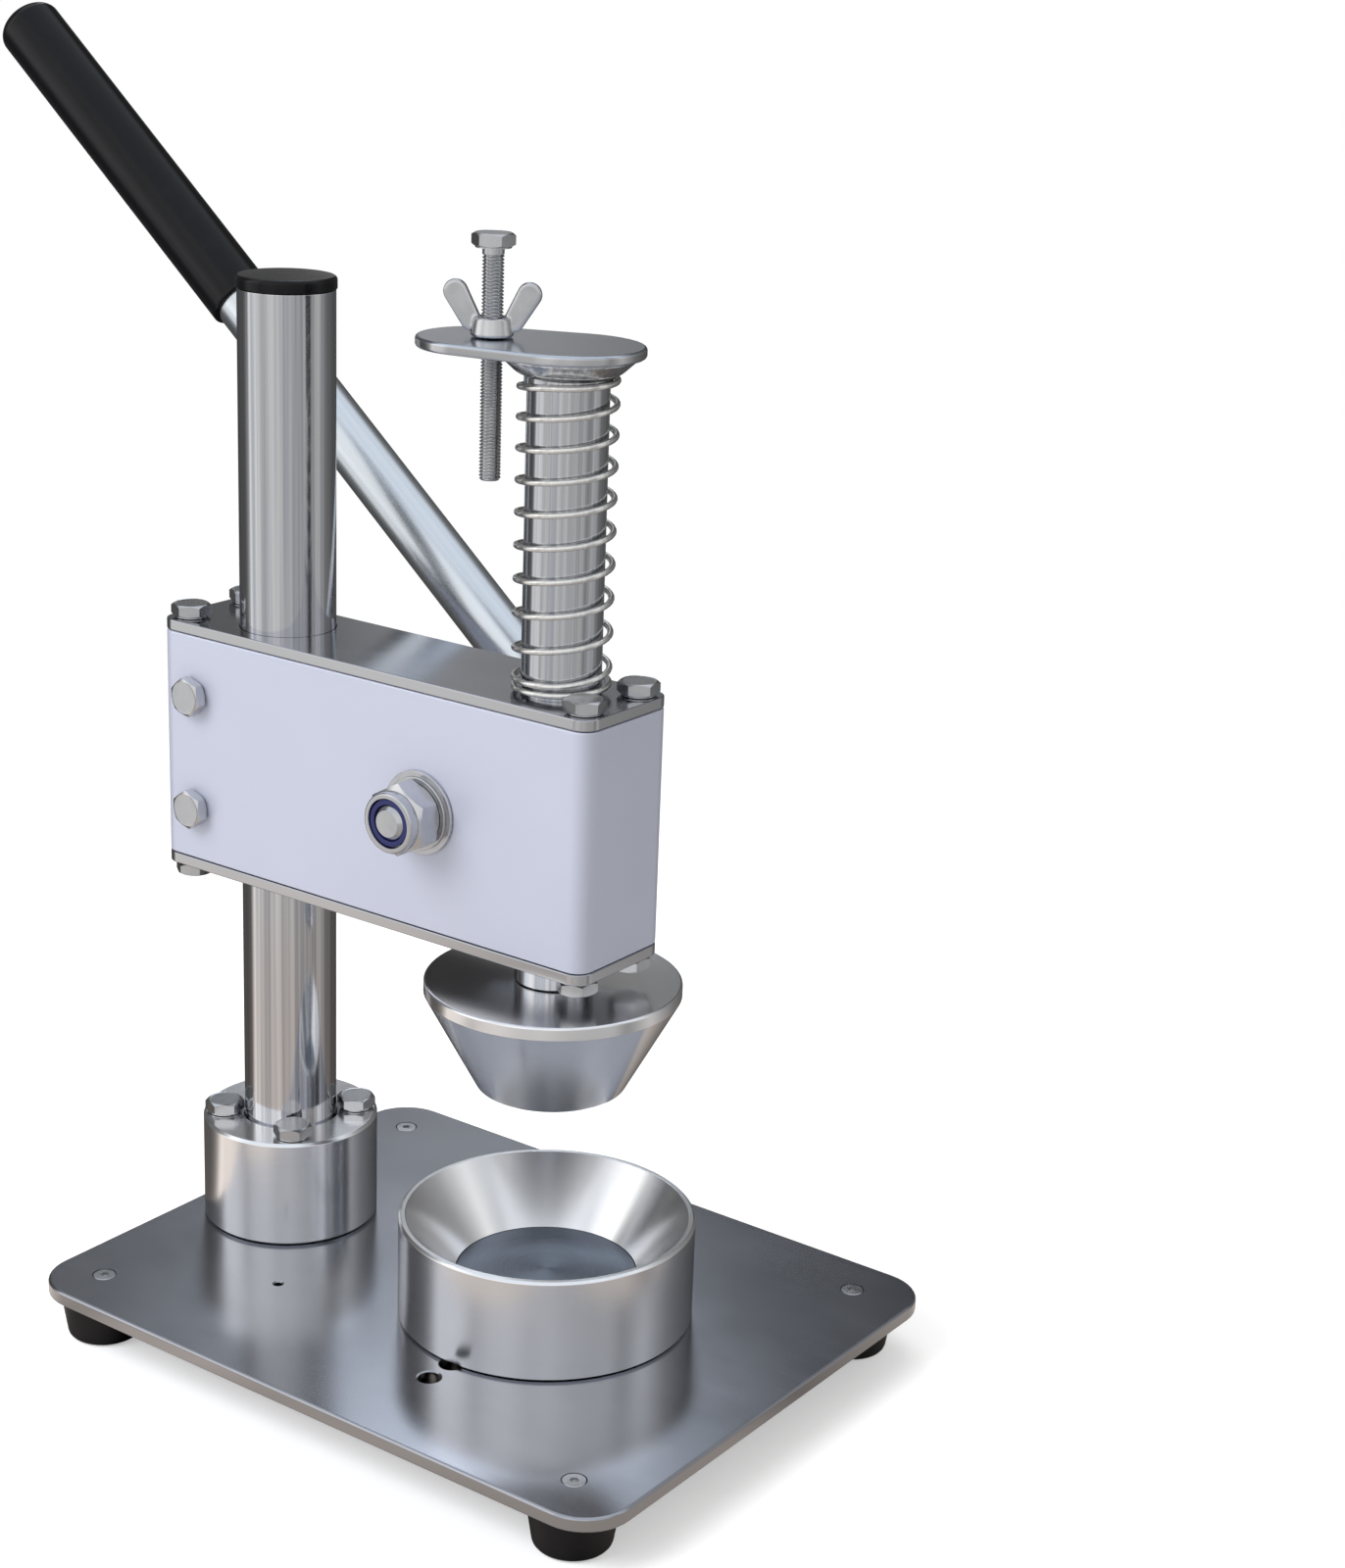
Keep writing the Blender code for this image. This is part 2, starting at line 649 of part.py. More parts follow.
def make_die(press):
    """Ring with a conical cavity, held by two screws from below, and its loose floor disc."""
    bottom = base_top + FIT_GAP
    top = base_top + DIE_HEIGHT
    floor = base_top + DIE_FLOOR_HEIGHT
    ledge = floor - DIE_FLOOR_THICKNESS - FIT_GAP
    well = DIE_FLOOR_RADIUS
    profile = [
        (well - DIE_LEDGE_WIDTH, bottom),
        (DIE_RADIUS - DIE_EDGE_BREAK, bottom),
        (DIE_RADIUS, bottom + DIE_EDGE_BREAK),
        (DIE_RADIUS, top - DIE_EDGE_BREAK),
        (DIE_RADIUS - DIE_EDGE_BREAK, top),
        (DIE_MOUTH_RADIUS, top),
        (well, floor),
        (well, ledge),
        (well - DIE_LEDGE_WIDTH, ledge),
    ]
    at = (RAM_OFFSET, 0, 0)
    die = piece("die_ring", turned(profile, LARGE_ROUND), "turned_aluminium", press, at)
    screw_depth = DIE_SCREW_LENGTH - BASE_THICKNESS + FIT_GAP
    for place, (x, y) in die_screw_places.items():
        hole = cylinder(DIE_SCREW_RADIUS + FIT_GAP, -CUT_OVERRUN, screw_depth, SMALL_ROUND)
        cut(die, hole, (x - RAM_OFFSET, y, bottom))
        screw = flat_screw(
            DIE_SCREW_RADIUS, DIE_SCREW_HEAD_RADIUS, DIE_SCREW_HEAD_HEIGHT, DIE_SCREW_LENGTH
        )
        turn = (math.pi, 0, 0)
        piece(f"die_screw_{place}", screw, "zinc_steel", press, (x, y, FOOT_HEIGHT), turn)
    disc = well - FIT_GAP
    disc_profile = [
        (0, ledge + FIT_GAP),
        (disc - EDGE_BREAK, ledge + FIT_GAP),
        (disc, ledge + FIT_GAP + EDGE_BREAK),
        (disc, floor - EDGE_BREAK),
        (disc - EDGE_BREAK, floor),
        (0, floor),
    ]
    piece("die_floor", turned(disc_profile, LARGE_ROUND), "brushed_steel", press, at)


def make_base(press):
    make_base_plate(press)
    for place, (x, y) in foot_places.items():
        make_foot(press, place, x, y)
    make_column(press)
    make_collar(press)
    make_die(press)


# Head

def pinion_pocket():
    """Cutter for the space that the pinion turns in, open at the housing's underside."""
    reach = pinion_pitch_radius + addendum + POCKET_CLEARANCE
    half = PINION_WIDTH / 2 + POCKET_SIDE_CLEARANCE
    return box(
        (shaft_x - reach, -half, housing_bottom - CUT_OVERRUN),
        (shaft_x + reach, half, shaft_z + reach),
    )


def along_y():
    """Turn that lays a piece made along Z onto the Y axis, away from the lock nut side."""
    return (-math.tau / 4, 0, 0)


def make_housing(head):
    left = -HOUSING_REAR_OVERHANG
    outline = rounded_rectangle(left, housing_front_x, housing_half_width, HOUSING_CORNER_RADIUS)
    body = extruded(outline, housing_bottom, housing_top)
    housing = piece("housing", body, "blasted_aluminium", head)
    low = housing_bottom - CUT_OVERRUN
    high = housing_top + CUT_OVERRUN
    cut(housing, cylinder(COLUMN_RADIUS + FIT_GAP, low, high, LARGE_ROUND))
    bush_bore = RAM_RADIUS + RAM_BUSH_WALL + 2 * FIT_GAP
    cut(housing, cylinder(bush_bore, low, high, LARGE_ROUND), (RAM_OFFSET, 0, 0))
    cut(housing, pinion_pocket())
    shaft_bore = SHAFT_RADIUS + SHAFT_BUSH_WALL + 2 * FIT_GAP
    across = housing_half_width + CUT_OVERRUN
    cut(housing, cylinder(shaft_bore, -across, across), (shaft_x, 0, shaft_z), along_y())
    slit = box(
        (left - CUT_OVERRUN, -CLAMP_SLIT_WIDTH / 2, low), (0, CLAMP_SLIT_WIDTH / 2, high)
    )
    cut(housing, slit)
    for z in clamp_bolt_heights.values():
        hole = cylinder(BOLT_RADIUS + FIT_GAP, -across, across, SMALL_ROUND)
        cut(housing, hole, (-CLAMP_BOLT_REACH, 0, z), along_y())
    depth = COVER_BOLT_LENGTH - COVER_THICKNESS
    for x, y in cover_bolt_places.values():
        cut(housing, bolt_hole(depth), (x, y, housing_top))
        cut(housing, bolt_hole(depth), (x, y, housing_bottom), (math.pi, 0, 0))


def make_cover(head, name, low):
    """Steel cover plate with holes for the column, the ram and four bolts."""
    left = -HOUSING_REAR_OVERHANG
    outline = rounded_rectangle(left, housing_front_x, housing_half_width, HOUSING_CORNER_RADIUS)
    high = low + COVER_THICKNESS
    cover = piece(name, extruded(outline, low, high), "polished_steel", head)
    below = low - CUT_OVERRUN
    above = high + CUT_OVERRUN
    cut(cover, cylinder(COLUMN_RADIUS + FIT_GAP, below, above, LARGE_ROUND))
    cut(cover, cylinder(RAM_RADIUS + FIT_GAP, below, above, LARGE_ROUND), (RAM_OFFSET, 0, 0))
    for x, y in cover_bolt_places.values():
        hole = cylinder(BOLT_RADIUS + FIT_GAP, below, above, SMALL_ROUND)
        cut(cover, hole, (x, y, 0))


def make_cover_bolts(head):
    for place, (x, y) in cover_bolt_places.items():
        top = (x, y, cover_top + FIT_GAP)
        piece(f"top_bolt_{place}", hex_bolt(COVER_BOLT_LENGTH), "zinc_steel", head, top)
        bottom = (x, y, -FIT_GAP)
        turn = (math.pi, 0, 0)
        bolt = hex_bolt(COVER_BOLT_LENGTH)
        piece(f"bottom_bolt_{place}", bolt, "zinc_steel", head, bottom, turn)


def make_clamp(head):
    """Bolts and nuts that pinch the housing's slit end on the column."""
    seat = housing_half_width + FIT_GAP
    length = 2 * seat + CLAMP_NUT_HEIGHT + CLAMP_BOLT_TAIL
    crown = BOLT_HEAD_FLATS / 2 - EDGE_BREAK / 2
    bore = BOLT_RADIUS + FIT_GAP
    for place, z in clamp_bolt_heights.items():
        bolt_at = (-CLAMP_BOLT_REACH, -seat, z)
        turn = (math.tau / 4, 0, 0)
        piece(f"clamp_bolt_{place}", hex_bolt(length), "zinc_steel", head, bolt_at, turn)
        nut = lofted(
            [
                circle_ring(bore, 0, SMALL_ROUND),
                hex_ring(BOLT_HEAD_FLATS, 0, SMALL_ROUND),
                hex_ring(BOLT_HEAD_FLATS, CLAMP_NUT_HEIGHT, SMALL_ROUND, crown),
                circle_ring(crown, CLAMP_NUT_HEIGHT, SMALL_ROUND),
                circle_ring(bore, CLAMP_NUT_HEIGHT, SMALL_ROUND),
            ],
            closed=True,
        )
        nut_at = (-CLAMP_BOLT_REACH, seat, z)
        piece(f"clamp_nut_{place}", nut, "zinc_steel", head, nut_at, along_y())


def make_bushes(head):
    """Bronze bushes for the lever's shaft in both walls, and for the ram above and below."""
    inner = SHAFT_RADIUS + FIT_GAP
    outer = inner + SHAFT_BUSH_WALL
    at = (shaft_x, 0, shaft_z)
    low = housing_half_width - SHAFT_BUSH_LENGTH
    near = ring(inner, outer, -housing_half_width, -low)
    far = ring(inner, outer, low, housing_half_width)
    piece("shaft_bush_near", near, "bronze", head, at, along_y())
    piece("shaft_bush_far", far, "bronze", head, at, along_y())
    inner = RAM_RADIUS + FIT_GAP
    outer = inner + RAM_BUSH_WALL
    at = (RAM_OFFSET, 0, 0)
    upper = ring(inner, outer, housing_top - RAM_BUSH_LENGTH, housing_top)
    piece("ram_bush_upper", upper, "bronze", head, at)
    lower = ring(inner, outer, housing_bottom, housing_bottom + RAM_BUSH_LENGTH)
    bush = piece("ram_bush_lower", lower, "bronze", head, at)
    cut(bush, pinion_pocket(), (-RAM_OFFSET, 0, 0))


def make_head(head):
    make_housing(head)
    make_cover(head, "bottom_cover", 0)
    make_cover(head, "top_cover", housing_top + FIT_GAP)
    make_cover_bolts(head)
    make_clamp(head)
    make_bushes(head)


# Lever

def involute_angle(radius, base_radius):
    """Angle that an involute has turned where it reaches a radius."""
    if radius <= base_radius:
        return 0
    pressure = math.acos(base_radius / radius)
    return math.tan(pressure) - pressure


def pinion_outline():
    """Gear outline with a tooth space, not a tooth, pointing along X."""
    base_radius = pinion_pitch_radius * math.cos(PRESSURE_ANGLE)
    root = pinion_pitch_radius - dedendum
    tip = pinion_pitch_radius + addendum
    half_tooth = (tooth_pitch - BACKLASH) / 4 / pinion_pitch_radius
    at_pitch = involute_angle(pinion_pitch_radius, base_radius)
    outline = []
    for tooth in range(PINION_TEETH):
        middle = math.tau * (tooth + 1 / 2) / PINION_TEETH
        radii = [root + (tip - root) * step / FLANK_STEPS for step in range(FLANK_STEPS + 1)]
        halves = [half_tooth + at_pitch - involute_angle(radius, base_radius) for radius in radii]
        rising = [on_circle(radius, middle - half) for radius, half in zip(radii, halves)]
        falling = [on_circle(radius, middle + half) for radius, half in zip(radii, halves)]
        outline += rising + falling[::-1]
    return outline


def make_pinion(lever):
    half = PINION_WIDTH / 2
    pinion = piece("pinion", extruded(pinion_outline(), -half, half), "zinc_steel", lever)
    bore = cylinder(SHAFT_RADIUS + FIT_GAP, -half - CUT_OVERRUN, half + CUT_OVERRUN)
    cut(pinion, bore)
    cut(pinion, key_box(FIT_GAP, half + CUT_OVERRUN))
    piece("pinion_key", key_box(0, half), "zinc_steel", lever)


def key_box(gap, half_length):
    """Square key half in the shaft and half in the pinion, or its slot with a gap."""
    half = KEY_SIZE / 2
    return box(
        (-half - gap, SHAFT_RADIUS - half - gap, -half_length),
        (half + gap, SHAFT_RADIUS + half + gap, half_length),
    )


def make_shaft(lever):
    """Shaft with a thread for the lock nut, a keyway and a hole for the hub's pin."""
    thread_end = -nut_outer - SHAFT_THREAD_TAIL
    shoulder = SHAFT_SHOULDER_INSET - housing_half_width
    profile = [
        (0, thread_end),
        (SHAFT_THREAD_RADIUS - SHAFT_THREAD_CHAMFER, thread_end),
        (SHAFT_THREAD_RADIUS, thread_end + SHAFT_THREAD_CHAMFER),
        (SHAFT_THREAD_RADIUS, shoulder),
        (SHAFT_RADIUS, shoulder),
        (SHAFT_RADIUS, shaft_end - EDGE_BREAK),
        (SHAFT_RADIUS - EDGE_BREAK, shaft_end),
        (0, shaft_end),
    ]
    shaft = piece("pivot_shaft", turned(profile), "zinc_steel", lever)
    cut(shaft, key_box(FIT_GAP, PINION_WIDTH / 2 + FIT_GAP))
    pin_z = (hub_start + shaft_end) / 2
    across = HUB_RADIUS + CUT_OVERRUN
    pin_hole = cylinder(HUB_PIN_RADIUS + FIT_GAP, -across, across, SMALL_ROUND)
    cut(shaft, pin_hole, (0, 0, pin_z), along_y())
    pin = cylinder(HUB_PIN_RADIUS, -HUB_RADIUS, HUB_RADIUS, SMALL_ROUND)
    piece("hub_pin", pin, "zinc_steel", lever, (0, 0, pin_z), along_y())


def make_lock_nut(lever):
    """Flat washer, hex nut with a round crown, and the nylon ring in the crown."""
    washer_bore = SHAFT_THREAD_RADIUS + FIT_GAP
    washer = soft_ring(washer_bore, WASHER_RADIUS, 0, WASHER_THICKNESS)
    outward = (math.pi, 0, 0)
    seat = -housing_half_width - FIT_GAP
    piece("shaft_washer", washer, "zinc_steel", lever, (0, 0, seat), outward)
    count = MEDIUM_ROUND
    insert_floor = LOCK_NUT_HEIGHT - NUT_INSERT_HEIGHT - FIT_GAP
    nut = lofted(
        [
            circle_ring(washer_bore, 0, count),
            hex_ring(LOCK_NUT_FLATS, 0, count),
            hex_ring(LOCK_NUT_FLATS, LOCK_NUT_HEX_HEIGHT, count, LOCK_NUT_CROWN_RADIUS),
            circle_ring(LOCK_NUT_CROWN_RADIUS, LOCK_NUT_HEX_HEIGHT, count),
            circle_ring(LOCK_NUT_CROWN_RADIUS, LOCK_NUT_HEIGHT - EDGE_BREAK, count),
            circle_ring(LOCK_NUT_CROWN_RADIUS - EDGE_BREAK, LOCK_NUT_HEIGHT, count),
            circle_ring(NUT_INSERT_RADIUS + FIT_GAP, LOCK_NUT_HEIGHT, count),
            circle_ring(NUT_INSERT_RADIUS + FIT_GAP, insert_floor, count),
            circle_ring(washer_bore, insert_floor, count),
        ],
        closed=True,
    )
    piece("lock_nut", nut, "zinc_steel", lever, (0, 0, -nut_inner), outward)
    low = LOCK_NUT_HEIGHT - NUT_INSERT_HEIGHT
    insert = soft_ring(washer_bore, NUT_INSERT_RADIUS, low, LOCK_NUT_HEIGHT, count)
    piece("nut_insert", insert, "blue_nylon", lever, (0, 0, -nut_inner), outward)


def make_hub(lever, arm):
    """Round boss behind the housing, pinned on the shaft, with a socket for the tube."""
    bore = SHAFT_RADIUS + FIT_GAP
    bore_end = shaft_end + FIT_GAP
    edge = EDGE_BREAK
    profile = [
        (bore, hub_start),
        (HUB_RADIUS - edge, hub_start),
        (HUB_RADIUS, hub_start + edge),
        (HUB_RADIUS, hub_end - edge),
        (HUB_RADIUS - edge, hub_end),
        (0, hub_end),
        (0, bore_end),
        (bore, bore_end),
    ]
    hub = piece("lever_hub", turned(profile), "zinc_steel", lever)
    pin_z = (hub_start + shaft_end) / 2
    across = HUB_RADIUS + CUT_OVERRUN
    pin_hole = cylinder(HUB_PIN_RADIUS + FIT_GAP, -across, across, SMALL_ROUND)
    cut(hub, pin_hole, (0, 0, pin_z), along_y())
    socket = cylinder(LEVER_TUBE_RADIUS + FIT_GAP, LEVER_SOCKET_FLOOR, across)
    cut(hub, socket, arm.location, arm.rotation_euler)
    low = housing_half_width + FIT_GAP
    washer = soft_ring(bore, HUB_WASHER_RADIUS, low, low + HUB_WASHER_THICKNESS)
    piece("hub_washer", washer, "zinc_steel", lever)


def make_lever_tube(arm):
    start = LEVER_SOCKET_FLOOR + FIT_GAP
    end = LEVER_REACH - GRIP_END_WALL - FIT_GAP
    tube = ring(LEVER_TUBE_RADIUS - LEVER_TUBE_WALL, LEVER_TUBE_RADIUS, start, end)
    piece("lever_tube", tube, "polished_steel", arm)


def make_grip(arm):
    """Plastic sleeve over the tube's end, closed by a low dome."""
    bore = LEVER_TUBE_RADIUS + FIT_GAP
    mouth = LEVER_REACH - GRIP_LENGTH
    floor = LEVER_REACH - GRIP_END_WALL
    shoulder = LEVER_REACH - GRIP_DOME_HEIGHT
    profile = [(bore, mouth), (GRIP_RADIUS - EDGE_BREAK, mouth), (GRIP_RADIUS, mouth + EDGE_BREAK)]
    for step in range(GRIP_DOME_STEPS + 1):
        angle = math.tau / 4 * step / GRIP_DOME_STEPS
        height = shoulder + GRIP_DOME_HEIGHT * math.sin(angle)
        radius = GRIP_RADIUS * math.cos(angle) if step < GRIP_DOME_STEPS else 0
        profile.append((radius, height))
    profile += [(0, floor), (bore, floor)]
    piece("lever_grip", turned(profile), "black_plastic", arm)


def make_lever(lever, arm):
    make_pinion(lever)
    make_shaft(lever)
    make_lock_nut(lever)
    make_hub(lever, arm)
    make_lever_tube(arm)
    make_grip(arm)


# Ram

def rack_comb():
    """Cutter for the tooth spaces down the middle of the ram's column side."""
    outside = -RAM_RADIUS - CUT_OVERRUN
    tip = -rack_tip
    root = tip + tooth_height
    at_pitch = (tooth_pitch + BACKLASH) / 4
    widen = math.tan(PRESSURE_ANGLE)
    half_at_tip = at_pitch + addendum * widen
    half_at_root = at_pitch - dedendum * widen
    spare = 2 * tooth_pitch
    lowest = math.floor(-spare / tooth_pitch)
    highest = math.ceil((RAM_TRAVEL + spare) / tooth_pitch)
    outline = [(outside, shaft_z + (lowest - 1 / 2) * tooth_pitch)]
    outline.append((tip, outline[0][1]))
    for space in range(lowest, highest + 1):
        z = shaft_z + (space + 1 / 2) * tooth_pitch
        outline += [
            (tip, z - half_at_tip),
            (root, z - half_at_root),
            (root, z + half_at_root),
            (tip, z + half_at_tip),
        ]
    last = shaft_z + (highest + 1 + 1 / 2) * tooth_pitch
    outline += [(tip, last), (outside, last)]
    across = PINION_WIDTH / 2 + RACK_SIDE_CLEARANCE
    return extruded(outline, -across, across)


def make_ram(ram_axis):
    """Round ram with a rack cut along its column side and a stud hole in its foot."""
    edge = EDGE_BREAK
    profile = [
        (0, ram_bottom),
        (RAM_RADIUS - edge, ram_bottom),
        (RAM_RADIUS, ram_bottom + edge),
        (RAM_RADIUS, ram_top - edge),
        (RAM_RADIUS - edge, ram_top),
        (0, ram_top),
    ]
    ram = piece("ram", turned(profile, LARGE_ROUND), "polished_steel", ram_axis)
    cut(ram, rack_comb(), turn=(math.tau / 4, 0, 0))
    depth = PUNCH_STUD_REACH + FIT_GAP
    bore = PUNCH_STUD_RADIUS + FIT_GAP
    cut(ram, cylinder(bore, ram_bottom - CUT_OVERRUN, ram_bottom + depth))


def make_punch(ram_axis):
    """Cone that presses the dough, screwed on the ram by a stud."""
    top = -PUNCH_DROP
    shoulder = top - PUNCH_LAND_HEIGHT
    bottom = shoulder - PUNCH_CONE_HEIGHT
    edge = PUNCH_EDGE_BREAK
    profile = [
        (0, bottom),
        (PUNCH_TIP_RADIUS - PUNCH_TIP_BREAK, bottom),
        (PUNCH_TIP_RADIUS, bottom + PUNCH_TIP_BREAK),
        (PUNCH_RADIUS, shoulder),
        (PUNCH_RADIUS, top - edge),
        (PUNCH_RADIUS - edge, top),
        (0, top),
    ]
    punch = piece("punch", turned(profile, LARGE_ROUND), "turned_aluminium", ram_axis)
    bore = PUNCH_STUD_RADIUS + FIT_GAP
    depth = PUNCH_STUD_REACH + FIT_GAP
    cut(punch, cylinder(bore, top - depth, top + CUT_OVERRUN))
    stud = cylinder(
        PUNCH_STUD_RADIUS, top - PUNCH_STUD_REACH, ram_bottom + PUNCH_STUD_REACH, MEDIUM_ROUND
    )
    piece("punch_stud", stud, "zinc_steel", ram_axis)


def make_stop_plate(ram_axis):
    """Long plate on top of the ram, and the flared collar that the spring pushes on."""
    end = Vector((-STOP_PLATE_END_OFFSET, 0))
    outline = two_circle_outline(
        Vector((0, 0)), STOP_PLATE_RAM_RADIUS, end, STOP_PLATE_END_RADIUS
    )
    plate = piece(
        "stop_plate",
        extruded(outline, plate_bottom, plate_top),
        "polished_steel",
        ram_axis,
        turn=(0, 0, STOP_PLATE_YAW),
    )
    bore = BOLT_RADIUS + FIT_GAP
    hole = cylinder(bore, plate_bottom - CUT_OVERRUN, plate_top + CUT_OVERRUN, SMALL_ROUND)
    cut(plate, hole, (-STOP_BOLT_OFFSET, 0, 0))
    inner = RAM_RADIUS + FIT_GAP
    seat_radius = neck_radius + SPRING_COLLAR_SEAT_WIDTH
    rim_radius = seat_radius + SPRING_COLLAR_FLARE_WIDTH
    flare = [
        (inner, spring_collar_bottom),
        (neck_radius, spring_collar_bottom),
        (neck_radius, neck_top),
        (seat_radius, neck_top + SPRING_COLLAR_SEAT_RISE),
        (rim_radius, ram_top - SPRING_COLLAR_RIM_HEIGHT),
        (rim_radius, ram_top),
        (inner, ram_top),
    ]
    piece("spring_collar", turned(flare, LARGE_ROUND), "polished_steel", ram_axis)


def make_stop(stop_axis):
    """Stop bolt, whose tip meets the top cover at full travel, and its wing nut."""
    head_seat = stop_tip + STOP_BOLT_LENGTH
    bolt = hex_bolt(STOP_BOLT_LENGTH)
    piece("stop_bolt", bolt, "zinc_steel", stop_axis, (0, 0, head_seat))
    seat = plate_top + FIT_GAP
    bore = BOLT_RADIUS + FIT_GAP
    edge = EDGE_BREAK
    profile = [
        (bore, 0),
        (WING_HUB_BASE_RADIUS, 0),
        (WING_HUB_BASE_RADIUS, 2 * edge),
        (WING_HUB_TOP_RADIUS, WING_HUB_HEIGHT - edge),
        (WING_HUB_TOP_RADIUS - edge, WING_HUB_HEIGHT),
        (bore, WING_HUB_HEIGHT),
    ]
    hub = turned(profile, MEDIUM_ROUND)
    nut = piece("wing_nut", hub, "zinc_steel", stop_axis, (0, 0, seat), (0, 0, WING_YAW))
    half = WING_THICKNESS / 2
    for side in (-1, 1):
        wing = two_circle_outline(
            Vector((side * WING_ROOT_REACH, WING_ROOT_HEIGHT)),
            WING_ROOT_RADIUS,
            Vector((side * WING_TIP_REACH, WING_TIP_HEIGHT)),
            WING_TIP_RADIUS,
        )
        join(nut, extruded(wing, -half, half), turn=(math.tau / 4, 0, 0))


# Return spring

def spring_seat():
    """Height of the wire's centre where the top coil rests under the collar's sloped seat."""
    slope = math.atan2(SPRING_COLLAR_SEAT_RISE, SPRING_COLLAR_SEAT_WIDTH)
    below = (SPRING_WIRE_RADIUS + FIT_GAP) / math.cos(slope)
    return neck_top + (coil_radius - neck_radius) * math.tan(slope) - below


def spring_turns():
    """Turns from the wire's start to each point, closer together round the collar's neck."""
    plain = SPRING_TURNS - SPRING_NECK_TURNS
    plain_steps = round(plain * SPRING_POINTS_PER_TURN)
    neck_steps = round(SPRING_NECK_TURNS * SPRING_NECK_POINTS_PER_TURN)
    turns = [plain * step / plain_steps for step in range(plain_steps)]
    return turns + [plain + SPRING_NECK_TURNS * step / neck_steps for step in range(neck_steps + 1)]


def spring_points():
    """Centre line of the wire: closed turns at both ends and open turns that bulge upward."""
    low = cover_top + FIT_GAP + SPRING_WIRE_RADIUS
    closed_turns = SPRING_BOTTOM_CLOSED_TURNS + SPRING_TOP_CLOSED_TURNS
    open_turns = SPRING_TURNS - closed_turns
    open_height = spring_seat() - low - closed_turns * SPRING_CLOSED_PITCH
    points = []
    for turn in spring_turns():
        opened = min(max(turn - SPRING_BOTTOM_CLOSED_TURNS, 0), open_turns)
        share = opened / open_turns
        height = low + (turn - opened) * SPRING_CLOSED_PITCH + open_height * share
        height += 4 * SPRING_UPWARD_BULGE * share * (1 - share)
        angle = SPRING_START_ANGLE + math.tau * turn
        points.append(Vector((*on_circle(coil_radius, angle), height)))
    return points


def straight_ends(points):
    """Adds one wire diameter, straight and level, at each end of a coil."""
    reach = 2 * SPRING_WIRE_RADIUS
    first = points[0] - points[1]
    last = points[-1] - points[-2]
    first.z = 0
    last.z = 0
    return [
        points[0] + first.normalized() * reach,
        *points,
        points[-1] + last.normalized() * reach,
    ]


def least_gap(points):
    """Smallest clear distance between turns, taken between points at least a few steps apart."""
    apart = SPRING_POINTS_PER_TURN // 3
    centre_gap = min(
        (first - second).length
        for place, first in enumerate(points)
        for second in points[place + apart :]
    )
    return centre_gap - 2 * SPRING_WIRE_RADIUS


def make_return_spring(head):
    points = straight_ends(spring_points())
    curve = bpy.data.curves.new("return_spring", "CURVE")
    curve.dimensions = "3D"
    curve.bevel_depth = SPRING_WIRE_RADIUS
    curve.bevel_resolution = 1
    curve.use_fill_caps = True
    spline = curve.splines.new("POLY")
    spline.points.add(len(points) - 1)
    for spline_point, point in zip(spline.points, points):
        spline_point.co = (*point, 1)
    curve.materials.append(material("zinc_steel"))
    spring = bpy.data.objects.new("return_spring", curve)
    spring.location = (RAM_OFFSET, 0, 0)
    spring.parent = head
    bpy.context.scene.collection.objects.link(spring)
    print(f"return spring: least gap between turns {least_gap(points):.5f} m")


def clear_scene():
    for old in list(bpy.data.objects):
        bpy.data.objects.remove(old)


def main():
    clear_scene()
    away = Vector((math.cos(LEVER_REST_ANGLE), 0, math.sin(LEVER_REST_ANGLE)))
    dome_reach = (LEVER_REACH - GRIP_DOME_HEIGHT) * -away.x
    dome_bulge = math.hypot(GRIP_DOME_HEIGHT * away.x, GRIP_RADIUS * away.z)
    rear_x = shaft_x - dome_reach - dome_bulge
    press = marker("press", at=(-(rear_x + base_front_x) / 2, 0, 0))
    head = marker("head_axis", press, (0, 0, base_top + HEAD_CLEARANCE))
    lever = marker("lever_axis", head, (shaft_x, 0, shaft_z))
    lever.rotation_euler = along_y()
    arm = marker("arm_axis", lever, (0, 0, LEVER_PLANE_Y))
    in_lever = Vector((away.x, -away.z, 0))
    arm.rotation_euler = in_lever.to_track_quat("Z", "Y").to_euler()
    ram_axis = marker("ram_axis", head, (RAM_OFFSET, 0, 0))
    stop_x, stop_y = on_circle(-STOP_BOLT_OFFSET, STOP_PLATE_YAW)
    stop_axis = marker("stop_axis", ram_axis, (stop_x, stop_y, 0))
    make_base(press)
    make_head(head)
    make_lever(lever, arm)
    make_ram(ram_axis)
    make_punch(ram_axis)
    make_stop_plate(ram_axis)
    make_stop(stop_axis)
    make_return_spring(head)


main()
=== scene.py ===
"""Looks of the tartlet press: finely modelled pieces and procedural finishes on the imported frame.

Lengths are in metres, in the frame's own axes: X from the column towards the punch, Y away
from the lock nut side, Z up. Each piece is modelled about its own axis, stands for one CAD
node and rides on that node's body.
"""

import json
from math import acos, atan2, cos, pi, radians, sin, tan, tau

import bmesh
import bpy
from mathutils import Matrix, Vector

